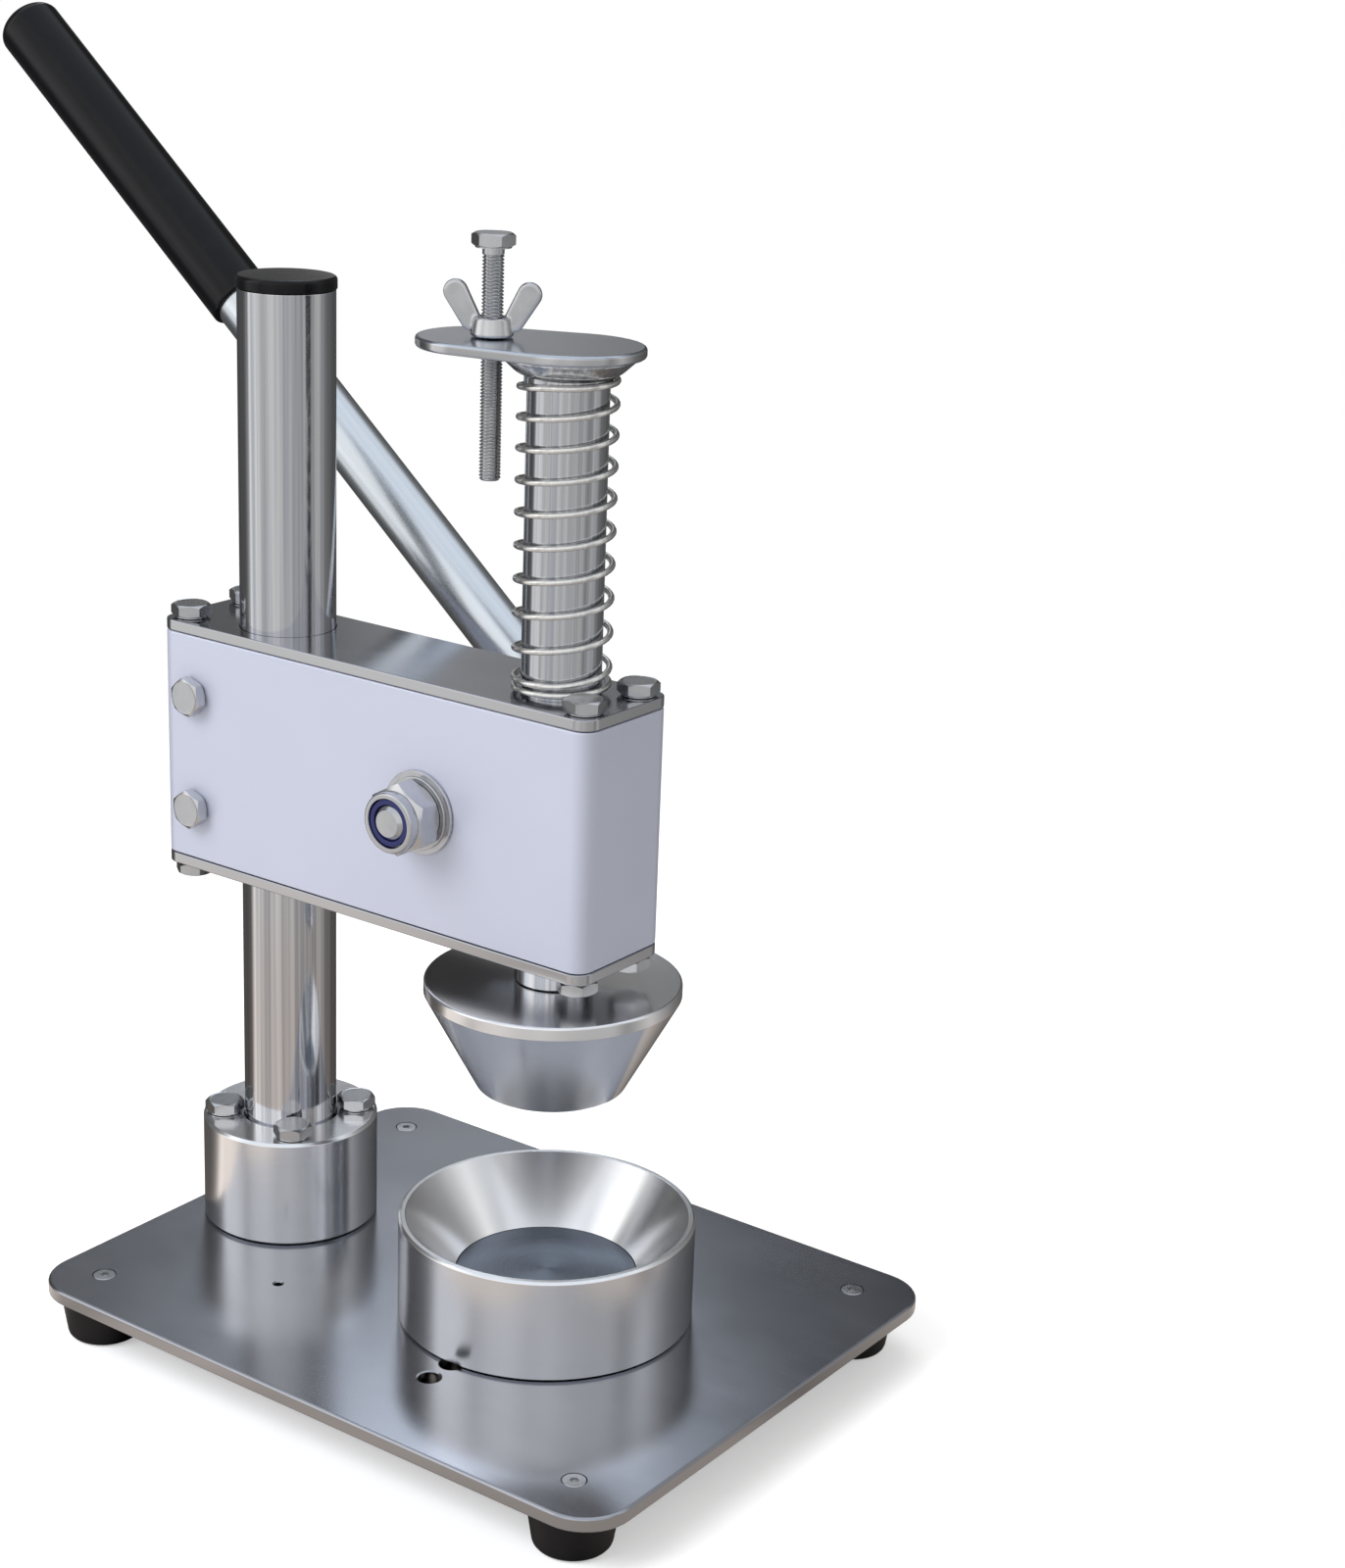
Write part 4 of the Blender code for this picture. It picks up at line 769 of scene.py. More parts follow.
def pale_block(name, dark, light, roughness):
    """Satin pale metal of the housing, with a fine even grain and soft patches."""
    made, tree, shader = new_finish(name, 0.35, Coat_Weight=0.25, Coat_Roughness=0.25)
    colour = blended(tree, smudges(tree, 14), dark, light)
    grain = smudges(tree, 1800)
    level = spread(tree, grain, roughness - 0.05, roughness + 0.07)
    skinned(tree, shader, colour, level, grain, BLOCK_GRAIN_DEPTH)
    return made


def moulded(name, dark, light, roughness, grain_depth, shine):
    """Plastic or rubber with a fine moulded grain and a few paler scuffs."""
    made, tree, shader = new_finish(name, 0.0, Specular_IOR_Level=shine)
    grain = smudges(tree, 900)
    patches = smudges(tree, 70)
    colour = blended(tree, ranged(tree, patches, 0.62, 0.80), dark, light)
    level = spread(tree, patches, roughness - 0.05, roughness + 0.10)
    skinned(tree, shader, colour, level, grain, grain_depth)
    return made


finish_makers = {
    # For brushed plates the last colour is that of the upright faces: partly the cut edge's look, partly
    # painted light and shade.
    "base_steel": (brushed_plate, (0.33, 0.34, 0.37), (0.44, 0.45, 0.49), 0.22, (0.45, 0.45, 0.46)),
    # disc_steel dresses the die's floor disc; its near-black colour is painted shade and painted dark
    # reflection of the die's hollow, darker than the steel's own colour.
    "disc_steel": (turned_metal, (0.13, 0.15, 0.18), (0.20, 0.22, 0.26), 0.28),
    "foot_rubber": (
        moulded, (0.004, 0.004, 0.005), (0.010, 0.010, 0.011), 0.50, RUBBER_GRAIN_DEPTH, 0.3
    ),
    "fastener_steel": (fastener_metal, (0.44, 0.45, 0.47), (0.68, 0.68, 0.69), 0.22),
    "turned_aluminium": (turned_metal, (0.84, 0.85, 0.87), (0.92, 0.92, 0.93), 0.20),
    "bright_steel": (drawn_steel, (0.44, 0.46, 0.50), (0.74, 0.74, 0.75), 0.11),
    "tube_steel": (drawn_steel, (0.66, 0.71, 0.76), (0.74, 0.78, 0.82), 0.28),
    "black_plastic": (
        moulded, (0.002, 0.002, 0.003), (0.004, 0.004, 0.006), 0.20, PLASTIC_GRAIN_DEPTH, 0.25
    ),
    "housing_aluminium": (pale_block, (0.55, 0.57, 0.68), (0.61, 0.63, 0.74), 0.42),
    "cover_steel": (brushed_plate, (0.34, 0.35, 0.39), (0.48, 0.49, 0.53), 0.16, (0.56, 0.56, 0.57)),
    "bush_bronze": (turned_metal, (0.45, 0.28, 0.12), (0.62, 0.42, 0.20), 0.35),
    "spring_steel": (drawn_steel, (0.70, 0.69, 0.67), (0.84, 0.83, 0.80), 0.24),
    "nut_nylon": (
        moulded, (0.010, 0.014, 0.10), (0.02, 0.03, 0.16), 0.35, NYLON_GRAIN_DEPTH, 0.5
    ),
    "hub_steel": (turned_metal, (0.50, 0.50, 0.51), (0.66, 0.66, 0.67), 0.28),
    "plate_steel": (brushed_plate, (0.44, 0.48, 0.55), (0.56, 0.60, 0.67), 0.18, (0.62, 0.62, 0.63)),
}
finishes = {name: make(name, *values) for name, (make, *values) in finish_makers.items()}

# Finishes of nodes that look different from the rest of their slot
OWN_FINISHES = {"lever_tube": "tube_steel"}


def dress_frame():
    """Gives every CAD node the finish of its slot, also those that stay hidden inside."""
    for node, made in frame["nodes"].items():
        made.data.materials.clear()
        made.data.materials.append(finishes[slot_of[node]])


# Base

def dress_base_plate():
    half = size("base_plate") / 2
    centre = middle("base_plate")
    outline = rectangle_outline(half.x, half.y, PLATE_CORNER_RADIUS)
    plate = placed("base_plate_detailed", slab(outline, -half.z, half.z, PLATE_EDGE_RADIUS), centre)
    seats = (("foot_screw", FOOT_SCREW, None), ("die_screw", DIE_SCREW, upside_down()))
    for screws, seat, turn in seats:
        for node in nodes_named(screws):
            offset = middle(node) - centre
            cut(plate, countersink(*seat, half.z), (offset.x, offset.y, 0), turn)
    past = half.z + CUT_OVERRUN
    drill(plate, nodes_named("collar_bolt"), BOLT_HOLE_RADIUS, -past, past)
    pilot = column_axis + Vector((*PILOT_HOLE_FROM_COLUMN, 0)) - centre
    cut(plate, open_hole(PILOT_HOLE_RADIUS, half.z), (pilot.x, pilot.y, 0))
    for across in SPARE_HOLES_FROM_DIE:
        offset = middle("die_ring") + Vector((*across, 0)) - centre
        cut(plate, open_hole(SPARE_HOLE_RADIUS, half.z), (offset.x, offset.y, 0))
    stand_for("base_plate", frozen(plate))


def stepped_hole(wide, seat, narrow, neck, half_thickness):
    """Cutter through a plate: wide down to the seat's depth, narrow from the neck's on."""
    past = half_thickness + CUT_OVERRUN
    profile = [
        (0, past),
        (wide, past),
        (wide, half_thickness - seat),
        (narrow, half_thickness - neck),
        (narrow, -past),
        (0, -past),
    ]
    return lathed(profile, SMALL_SIDES)


def open_hole(radius, half_thickness):
    """Cutter for a hole whose upper edge is softened."""
    soft = HOLE_EDGE_RADIUS
    return stepped_hole(radius + soft, 0, radius, soft, half_thickness)


def countersink(head, shank, head_height, half_thickness):
    """Cutter for a countersunk screw's seat through the plate, with the fit gap round it."""
    depths = (head_height / 4 + FIT_GAP, head_height + FIT_GAP)
    return stepped_hole(head + FIT_GAP, depths[0], shank + FIT_GAP, depths[1], half_thickness)


def flat_screw(node, head, shank, head_height, height, turn=None):
    """Countersunk screw with a hexagon socket, its flat face at a height."""
    length = size(node).z
    rim = SCREW_RIM_RADIUS
    profile = rounded([
        (0, 0, 0),
        (head, 0, rim),
        (head, -head_height / 4, 0),
        (shank, -head_height, 0),
        (shank, -length, rim),
        (0, -length, 0),
    ])
    at = (middle(node).x, middle(node).y, height)
    screw = placed(f"{node}_detailed", lathed(profile, SMALL_SIDES), at, turn)
    flats = head * SCREW_SOCKET_SHARE
    cut(screw, lofted([hex_ring(flats, z) for z in (-SCREW_SOCKET_DEPTH, CUT_OVERRUN)]))
    stand_for(node, frozen(screw))


def dress_flat_screws():
    for node in nodes_named("foot_screw"):
        flat_screw(node, *FOOT_SCREW, high_z(node))
    for node in nodes_named("die_screw"):
        flat_screw(node, *DIE_SCREW, low_z(node), upside_down())


def dress_feet():
    height = size("foot_rear_near").z
    bore = SCREW_SHANK_RADIUS + FIT_GAP
    edge = FOOT_EDGE_RADIUS
    profile = rounded([
        (bore, 0, 0),
        (FOOT_BOTTOM_RADIUS, 0, edge),
        (FOOT_TOP_RADIUS, height - edge / 2, edge / 2),
        (FOOT_TOP_RADIUS - edge / 4, height, 0),
        (bore, height, 0),
    ])
    for node in nodes_named("foot_rear", "foot_front"):
        piece(node, lathed(profile), (middle(node).x, middle(node).y, 0))


def dress_column():
    low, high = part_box("column_tube")
    radius = size("column_tube").x / 2
    rim = COLLAR_EDGE_RADIUS
    tube = rim_outline(radius - COLUMN_WALL, radius, low.z, high.z, rim)
    piece("column_tube", lathed(tube), column_foot)
    cap_low = high.z + FIT_GAP
    plug = radius - COLUMN_WALL - FIT_GAP
    low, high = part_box("column_cap")
    cap_radius = size("column_cap").x / 2
    profile = rounded([
        (0, high.z, 0),
        (cap_radius, high.z - CAP_EDGE_RADIUS / 4, CAP_EDGE_RADIUS),
        (cap_radius, cap_low, rim),
        (plug, cap_low, 0),
        (plug, low.z, 0),
        (0, low.z, 0),
    ])
    piece("column_cap", lathed(profile), column_foot)


def dress_collar():
    low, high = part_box("column_collar")
    radius = size("column_collar").x / 2
    inside = size("column_tube").x / 2 + FIT_GAP
    edge = COLLAR_EDGE_RADIUS
    chamfer = COLLAR_CHAMFER
    profile = rounded([
        (inside, low.z, 0),
        (radius - chamfer, low.z, edge),
        (radius, low.z + chamfer, edge),
        (radius, high.z - chamfer, edge),
        (radius - chamfer, high.z, edge),
        (inside + chamfer, high.z, edge),
        (inside, high.z - chamfer, edge),
    ])
    collar = placed("column_collar_detailed", lathed(profile), column_foot)
    bolts = nodes_named("collar_bolt")
    drill(collar, bolts, BOLT_HOLE_RADIUS, low.z - CUT_OVERRUN, high.z + CUT_OVERRUN)
    stand_for("column_collar", frozen(collar))


def dress_die():
    low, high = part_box("die_ring")
    radius = size("die_ring").x / 2
    floor_low, floor_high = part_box("die_floor")
    ledge = floor_low.z - FIT_GAP
    edge = DIE_EDGE_RADIUS
    profile = rounded([
        (DIE_FLOOR_RADIUS - DIE_LEDGE_WIDTH, low.z, 0),
        (radius - DIE_CHAMFER, low.z, edge),
        (radius, low.z + DIE_CHAMFER, edge),
        (radius, high.z - DIE_CHAMFER, edge),
        (radius - DIE_CHAMFER, high.z, edge),
        (DIE_MOUTH_RADIUS, high.z, edge),
        (DIE_FLOOR_RADIUS, floor_high.z, 0),
        (DIE_FLOOR_RADIUS, ledge, 0),
        (DIE_FLOOR_RADIUS - DIE_LEDGE_WIDTH, ledge, 0),
    ])
    at = (middle("die_ring").x, middle("die_ring").y, 0)
    die = placed("die_ring_detailed", lathed(profile), at)
    hole = DIE_SCREW_SHANK_RADIUS + FIT_GAP
    for node in nodes_named("die_screw"):
        drill(die, [node], hole, low.z - CUT_OVERRUN, high_z(node) + FIT_GAP)
    stand_for("die_ring", frozen(die))
    disc = rim_outline(0, size("die_floor").x / 2, floor_low.z, floor_high.z, edge)
    piece("die_floor", lathed(disc), at)


# Head

def dress_housing():
    half = size("housing") / 2
    centre = middle("housing")
    outline = rectangle_outline(half.x, half.y, HOUSING_CORNER_RADIUS)
    housing = placed("housing_detailed", slab(outline, -half.z, half.z, HOUSING_EDGE_RADIUS), centre)
    column = column_axis - centre
    ram = ram_axis - centre
    shaft = shaft_axis - centre
    past = half.z + CUT_OVERRUN
    for bore, x in (("column_tube", column.x), ("ram_bush_upper", ram.x)):
        cut(housing, cylinder(size(bore).x / 2 + FIT_GAP, -past, past), (x, 0, 0))
    slit_low = (-half.x - CUT_OVERRUN, -CLAMP_SLIT_WIDTH / 2, -past)
    cut(housing, box_mesh(slit_low, (column.x, CLAMP_SLIT_WIDTH / 2, past)))
    pinion = size("pinion") / 2 + Vector((CUT_OVERRUN, FIT_GAP * 4, CUT_OVERRUN))
    pocket = box_mesh((shaft.x - pinion.x, -pinion.y, -past), (shaft.x + pinion.x, pinion.y, pinion.z))
    cut(housing, pocket)
    across = half.y + CUT_OVERRUN
    bush = cylinder(size("shaft_bush_near").x / 2 + FIT_GAP, -across, across)
    cut(housing, bush, (shaft.x, 0, shaft.z), facing_far())
    for bolt in ("clamp_bolt_upper", "clamp_bolt_lower"):
        offset = middle(bolt) - centre
        cut(housing, cylinder(BOLT_HOLE_RADIUS, -across, across), (offset.x, 0, offset.z), facing_far())
    for node in nodes_named("top_bolt", "bottom_bolt"):
        ends = (low_z(node) - FIT_GAP - centre.z, high_z(node) + FIT_GAP - centre.z)
        drill(housing, [node], BOLT_HOLE_RADIUS, *ends)
    stand_for("housing", frozen(housing))


def dress_covers():
    for node, bolts in (("bottom_cover", "bottom_bolt"), ("top_cover", "top_bolt")):
        half = size(node) / 2
        centre = middle(node)
        outline = rectangle_outline(half.x, half.y, HOUSING_CORNER_RADIUS)
        cover = placed(f"{node}_detailed", slab(outline, -half.z, half.z, COVER_EDGE_RADIUS), centre)
        past = half.z + CUT_OVERRUN
        column_bore = size("column_tube").x / 2 + FIT_GAP
        cut(cover, cylinder(column_bore, -past, past), ((column_axis - centre).x, 0, 0))
        cut(cover, cylinder(RAM_RADIUS + FIT_GAP, -past, past), ((ram_axis - centre).x, 0, 0))
        drill(cover, nodes_named(bolts), BOLT_HOLE_RADIUS, -past, past)
        stand_for(node, frozen(cover))


def dress_bolts():
    """Hex bolts: each stands where its node's head does, turned by its own amount."""
    bolts = nodes_named("collar_bolt", "top_bolt", "bottom_bolt", "clamp_bolt")
    for number, node in enumerate(bolts):
        low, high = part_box(node)
        centre = middle(node)
        spin = Matrix.Rotation(BOLT_TURN + (number % 3 - 1) * BOLT_TURN_SPREAD, 4, "Z")
        if node.startswith("clamp_bolt"):
            at = (centre.x, low.y + BOLT_HEAD_HEIGHT, centre.z)
            piece(node, hex_bolt(high.y - at[1]), at, facing_near() @ spin)
        elif node.startswith("bottom_bolt"):
            at = (centre.x, centre.y, low.z + BOLT_HEAD_HEIGHT)
            piece(node, hex_bolt(high.z - at[2]), at, upside_down() @ spin)
        else:
            at = (centre.x, centre.y, high.z - BOLT_HEAD_HEIGHT)
            piece(node, hex_bolt(at[2] - low.z), at, spin)


def dress_clamp_nuts():
    crown = BOLT_FLATS / 2 - BOLT_WASHER_FACE_HEIGHT
    for node in ("clamp_nut_upper", "clamp_nut_lower"):
        low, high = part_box(node)
        height = high.y - low.y
        rings = [
            circle_ring(CLAMP_NUT_BORE_RADIUS, 0),
            circle_ring(crown, 0),
            hex_ring(BOLT_FLATS, 0, crown, 1),
            hex_ring(BOLT_FLATS, height, crown),
            circle_ring(crown, height),
            circle_ring(CLAMP_NUT_BORE_RADIUS, height),
        ]
        at = (middle(node).x, low.y, middle(node).z)
        piece(node, lofted(rings, closed=True), at, facing_far())


# Lever

def dress_shaft_washer():
    low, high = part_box("shaft_washer")
    radius = size("shaft_washer").x / 2
    thickness = high.y - low.y
    step = thickness - WASHER_STEP_HEIGHT
    edge = SCREW_RIM_RADIUS
    profile = rounded([
        (WASHER_BORE_RADIUS, 0, 0),
        (radius, 0, edge),
        (radius, step, edge),
        (WASHER_STEP_RADIUS - edge, step, 0),
        (WASHER_STEP_RADIUS, step + edge, 0),
        (WASHER_STEP_RADIUS, thickness, edge),
        (WASHER_BORE_RADIUS, thickness, 0),
    ])
    piece("shaft_washer", lathed(profile), (shaft_axis.x, high.y, shaft_axis.z), facing_near())


def dress_lock_nut():
    """Flanged hex nut whose round collar holds the blue insert in a recess."""
    height = size("lock_nut").y
    at = (shaft_axis.x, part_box("lock_nut")[1].y, shaft_axis.z)
    insert_low = height - size("nut_insert").y - FIT_GAP
    crown = LOCK_NUT_CROWN_RADIUS
    rise = LOCK_NUT_FLANGE_HEIGHT
    rings = [
        circle_ring(WASHER_BORE_RADIUS, 0),
        circle_ring(LOCK_NUT_FLANGE_RADIUS, 0),
        circle_ring(LOCK_NUT_FLANGE_RADIUS, rise),
        hex_ring(LOCK_NUT_FLATS, rise, LOCK_NUT_FLANGE_RADIUS, 1),
        hex_ring(LOCK_NUT_FLATS, LOCK_NUT_HEX_HEIGHT, crown),
        circle_ring(crown, LOCK_NUT_HEX_HEIGHT),
    ]
    for x, z in arc((crown - rise, height - rise), rise, 0, tau / 4, FILLET_STEPS):
        rings.append(circle_ring(x, z))
    rings += [
        circle_ring(NUT_INSERT_RADIUS + FIT_GAP, height),
        circle_ring(NUT_INSERT_RADIUS, height - NUT_INSERT_RECESS),
        circle_ring(NUT_INSERT_RADIUS, insert_low),
        circle_ring(WASHER_BORE_RADIUS, insert_low),
    ]
    piece("lock_nut", lofted(rings, closed=True), at, facing_near())

    low = insert_low + FIT_GAP
    high = height - NUT_INSERT_RECESS
    outer = NUT_INSERT_RADIUS - FIT_GAP
    edge = SCREW_RIM_RADIUS
    profile = rounded([
        (WASHER_BORE_RADIUS, low, 0), (outer, low, 0), (outer, high, edge), (WASHER_BORE_RADIUS, high, edge),
    ])
    piece("nut_insert", lathed(profile), at, facing_near())


def dress_shaft():
    low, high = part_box("pivot_shaft")
    radius = size("pivot_shaft").x / 2
    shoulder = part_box("housing")[0].y + FIT_GAP * 3
    profile = [
        (0, low.y),
        (SHAFT_THREAD_RADIUS - SHAFT_END_CHAMFER, low.y),
        (SHAFT_THREAD_RADIUS, low.y + SHAFT_END_CHAMFER),
        (SHAFT_THREAD_RADIUS, shoulder),
        (radius, shoulder),
        (radius, high.y),
        (0, high.y),
    ]
    at = (shaft_axis.x, 0, shaft_axis.z)
    shaft = placed("pivot_shaft_detailed", lathed(profile), at, facing_far())
    key = size("pinion_key") / 2 + Vector((FIT_GAP, FIT_GAP * 2, 0))
    cut(shaft, box_mesh((-key.x, radius - key.x, -key.y), (key.x, radius + CUT_OVERRUN, key.y)))
    cut(shaft, pin_hole(radius), (0, 0, middle("hub_pin").y), facing_far())
    stand_for("pivot_shaft", frozen(shaft))


def arm_turn():
    """Turn that lays a piece's Z along the lever at rest."""
    away = Vector((cos(LEVER_REST_ANGLE), 0, sin(LEVER_REST_ANGLE)))
    return away.to_track_quat("Z", "Y").to_matrix().to_4x4()


def pin_hole(radius):
    """Cutter for the cross pin's hole through a round piece."""
    past = radius + CUT_OVERRUN
    return cylinder(size("hub_pin").x / 2 + FIT_GAP, -past, past)


def dress_hub():
    low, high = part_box("lever_hub")
    radius = size("lever_hub").x / 2
    bore = size("pivot_shaft").x / 2 + FIT_GAP
    bore_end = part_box("pivot_shaft")[1].y + FIT_GAP
    edge = HUB_EDGE_RADIUS
    profile = rounded([
        (bore, low.y, 0),
        (radius, low.y, edge),
        (radius, high.y, edge),
        (0, high.y, 0),
        (0, bore_end, 0),
        (bore, bore_end, 0),
    ])
    at = (shaft_axis.x, 0, shaft_axis.z)
    hub = placed("lever_hub_detailed", lathed(profile), at, facing_far())
    pin = middle("hub_pin")
    cut(hub, pin_hole(radius), (0, 0, pin.y), facing_far())
    socket = cylinder(LEVER_TUBE_RADIUS + FIT_GAP, LEVER_TUBE_START - FIT_GAP, radius + CUT_OVERRUN)
    cut(hub, socket, (0, 0, LEVER_PLANE_Y), facing_far().inverted() @ arm_turn())
    stand_for("lever_hub", frozen(hub))

    low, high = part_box("hub_washer")
    rim = SCREW_RIM_RADIUS
    washer = rim_outline(bore, size("hub_washer").x / 2, low.y, high.y, rim)
    piece("hub_washer", lathed(washer), at, facing_far())
    half = size("hub_pin") / 2
    piece("hub_pin", lathed(rim_outline(0, half.x, -half.z, half.z, rim), SMALL_SIDES), pin)


def dress_arm():
    at = (shaft_axis.x, LEVER_PLANE_Y, shaft_axis.z)
    inside = LEVER_TUBE_RADIUS - LEVER_TUBE_WALL
    end = LEVER_REACH - GRIP_END_WALL - FIT_GAP
    tube = rim_outline(inside, LEVER_TUBE_RADIUS, LEVER_TUBE_START, end, SCREW_RIM_RADIUS)
    piece("lever_tube", lathed(tube), at, arm_turn())
    bore = LEVER_TUBE_RADIUS + FIT_GAP
    mouth = LEVER_REACH - GRIP_LENGTH
    shoulder = LEVER_REACH - GRIP_DOME_HEIGHT
    mouth_edge = [(bore, mouth, 0), (GRIP_RADIUS, mouth, GRIP_MOUTH_EDGE_RADIUS)]
    grip = rounded([*mouth_edge, (GRIP_RADIUS, shoulder, 0), (bore, shoulder, 0)])[:-1]
    for step in range(1, GRIP_DOME_STEPS + 1):
        angle = tau / 4 * step / GRIP_DOME_STEPS
        reach = GRIP_RADIUS * cos(angle) if step < GRIP_DOME_STEPS else 0
        grip.append((reach, shoulder + GRIP_DOME_HEIGHT * sin(angle)))
    grip += [(0, end + FIT_GAP), (bore, end + FIT_GAP)]
    piece("lever_grip", lathed(grip), at, arm_turn())


# Ram

def rack_comb():
    """Cutter for the tooth spaces down the ram's column side."""
    pitch = pi * RACK_MODULE
    outside = -RAM_RADIUS - CUT_OVERRUN
    tip = RACK_FLAT_DEPTH - RAM_RADIUS
    root = tip + RACK_DEPTH
    widen = tan(RACK_PRESSURE_ANGLE)
    half_at_tip = (pitch + RACK_BACKLASH) / 4 + RACK_ADDENDUM * widen
    half_at_root = half_at_tip - RACK_DEPTH * widen
    first = shaft_axis.z + (RACK_FIRST_SPACE - 1 / 2) * pitch
    outline = [(outside, first), (tip, first)]
    for space in range(RACK_FIRST_SPACE, RACK_LAST_SPACE + 1):
        height = shaft_axis.z + (space + 1 / 2) * pitch
        outline += [
            (tip, height - half_at_tip),
            (root, height - half_at_root),
            (root, height + half_at_root),
            (tip, height + half_at_tip),
        ]
    last = shaft_axis.z + (RACK_LAST_SPACE + 3 / 2) * pitch
    outline += [(tip, last), (outside, last)]
    return lofted([[(x, z, across) for x, z in outline] for across in (-RACK_HALF_WIDTH, RACK_HALF_WIDTH)])


def dress_ram():
    low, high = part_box("ram")
    bar = lathed(rim_outline(0, RAM_RADIUS, low.z, high.z, RAM_EDGE_RADIUS))
    ram = placed("ram_detailed", bar, ram_foot)
    cut(ram, rack_comb(), turn=facing_near())
    stud = size("punch_stud").x / 2 + FIT_GAP
    cut(ram, cylinder(stud, low.z - CUT_OVERRUN, high_z("punch_stud") + FIT_GAP))
    stand_for("ram", frozen(ram))


def dress_punch():
    low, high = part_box("punch")
    radius = size("punch").x / 2
    profile = rounded([
        (0, low.z, 0),
        (PUNCH_TIP_RADIUS, low.z, PUNCH_TIP_EDGE_RADIUS),
        (radius, high.z - PUNCH_LAND_HEIGHT, PUNCH_EDGE_RADIUS / 2),
        (radius, high.z, PUNCH_EDGE_RADIUS),
        (0, high.z, 0),
    ])
    punch = placed("punch_detailed", lathed(profile), ram_foot)
    stud = size("punch_stud").x / 2 + FIT_GAP
    cut(punch, cylinder(stud, low_z("punch_stud") - FIT_GAP, high.z + CUT_OVERRUN))
    stand_for("punch", frozen(punch))


def dress_stop_plate():
    low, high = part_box("stop_plate")
    end = (-STOP_PLATE_END_OFFSET, 0)
    outline = two_circle_outline((0, 0), STOP_PLATE_RAM_RADIUS, end, STOP_PLATE_END_RADIUS)
    turn = Matrix.Rotation(STOP_PLATE_YAW, 4, "Z")
    mesh = slab(outline, low.z, high.z, STOP_PLATE_EDGE_RADIUS)
    plate = placed("stop_plate_detailed", mesh, ram_foot, turn)
    hole = cylinder(BOLT_HOLE_RADIUS, low.z - CUT_OVERRUN, high.z + CUT_OVERRUN)
    cut(plate, hole, (-STOP_BOLT_OFFSET, 0, 0))
    stand_for("stop_plate", frozen(plate))


def dress_spring_collar():
    low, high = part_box("spring_collar")
    inner = RAM_RADIUS + FIT_GAP
    neck = inner + SPRING_NECK_WALL
    neck_top = low.z + SPRING_NECK_HEIGHT
    seat = neck + SPRING_SEAT_WIDTH
    rim = seat + SPRING_FLARE_WIDTH
    edge = COLLAR_EDGE_RADIUS
    profile = rounded([
        (inner, low.z, 0),
        (neck, low.z, edge),
        (neck, neck_top, 0),
        (seat, neck_top + SPRING_SEAT_RISE, SPRING_SEAT_RADIUS),
        (rim, high.z - SPRING_RIM_HEIGHT, edge),
        (rim, high.z, 0),
        (inner, high.z, 0),
    ])
    piece("spring_collar", lathed(profile), ram_foot)


def dress_stop_bolt():
    low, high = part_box("stop_bolt")
    at = (stop_axis.x, stop_axis.y, high.z - BOLT_HEAD_HEIGHT)
    shank, neck, head = threaded_bolt(at[2] - low.z, STOP_BOLT_PLAIN)
    bolt = placed("stop_bolt_detailed", shank, at)
    join(bolt, neck)
    join(bolt, head)
    stand_for("stop_bolt", frozen(bolt))


def dress_wing_nut():
    low = low_z("wing_nut")
    profile = rounded([
        (0, 0, 0),
        (WING_HUB_BASE_RADIUS, 0, WING_EDGE_RADIUS),
        (WING_HUB_TOP_RADIUS, WING_HUB_HEIGHT, WING_EDGE_RADIUS),
        (0, WING_HUB_HEIGHT, 0),
    ])
    turn = Matrix.Rotation(WING_YAW, 4, "Z")
    nut = placed("wing_nut_detailed", lathed(profile, SMALL_SIDES), (stop_axis.x, stop_axis.y, low), turn)
    half = WING_THICKNESS / 2
    for side in (-1, 1):
        root = (side * WING_ROOT_REACH, WING_ROOT_HEIGHT)
        tip = (side * WING_TIP_REACH, WING_TIP_HEIGHT)
        outline = two_circle_outline(root, WING_ROOT_RADIUS, tip, WING_TIP_RADIUS)
        join(nut, slab(outline, -half, half, WING_EDGE_RADIUS), turn=facing_near())
    remesh = nut.modifiers.new("cast_skin", "REMESH")
    remesh.mode = "VOXEL"
    remesh.voxel_size = WING_VOXEL
    nut.modifiers.new("soft_edges", "SMOOTH").iterations = WING_SMOOTH_STEPS
    cut(nut, cylinder(BOLT_HOLE_RADIUS, -CUT_OVERRUN, WING_HUB_HEIGHT + CUT_OVERRUN))
    stand_for("wing_nut", frozen(nut))


def spring_points(low, high):
    """Centre line of the wire: closed turns at both ends and open turns that bulge upward."""
    closed_turns = SPRING_BOTTOM_CLOSED_TURNS + SPRING_TOP_CLOSED_TURNS
    open_turns = SPRING_TURNS - closed_turns
    open_height = high - low - closed_turns * SPRING_CLOSED_PITCH
    points = []
    count = round(SPRING_TURNS * SPRING_POINTS_PER_TURN)
    for step in range(count + 1):
        turn = SPRING_TURNS * step / count
        opened = min(max(turn - SPRING_BOTTOM_CLOSED_TURNS, 0), open_turns)
        share = opened / open_turns
        height = low + (turn - opened) * SPRING_CLOSED_PITCH + open_height * share
        height += 4 * SPRING_UPWARD_BULGE * share * (1 - share)
        angle = SPRING_START_ANGLE + tau * turn
        points.append(Vector(ram_foot) + Vector(polar(SPRING_COIL_RADIUS, angle, height)))
    first = points[0] - points[1]
    last = points[-1] - points[-2]
    for end in (first, last):
        end.z = 0
    reach = 2 * SPRING_WIRE_RADIUS
    start = points[0] + first.normalized() * reach
    return [start, *points, points[-1] + last.normalized() * reach]


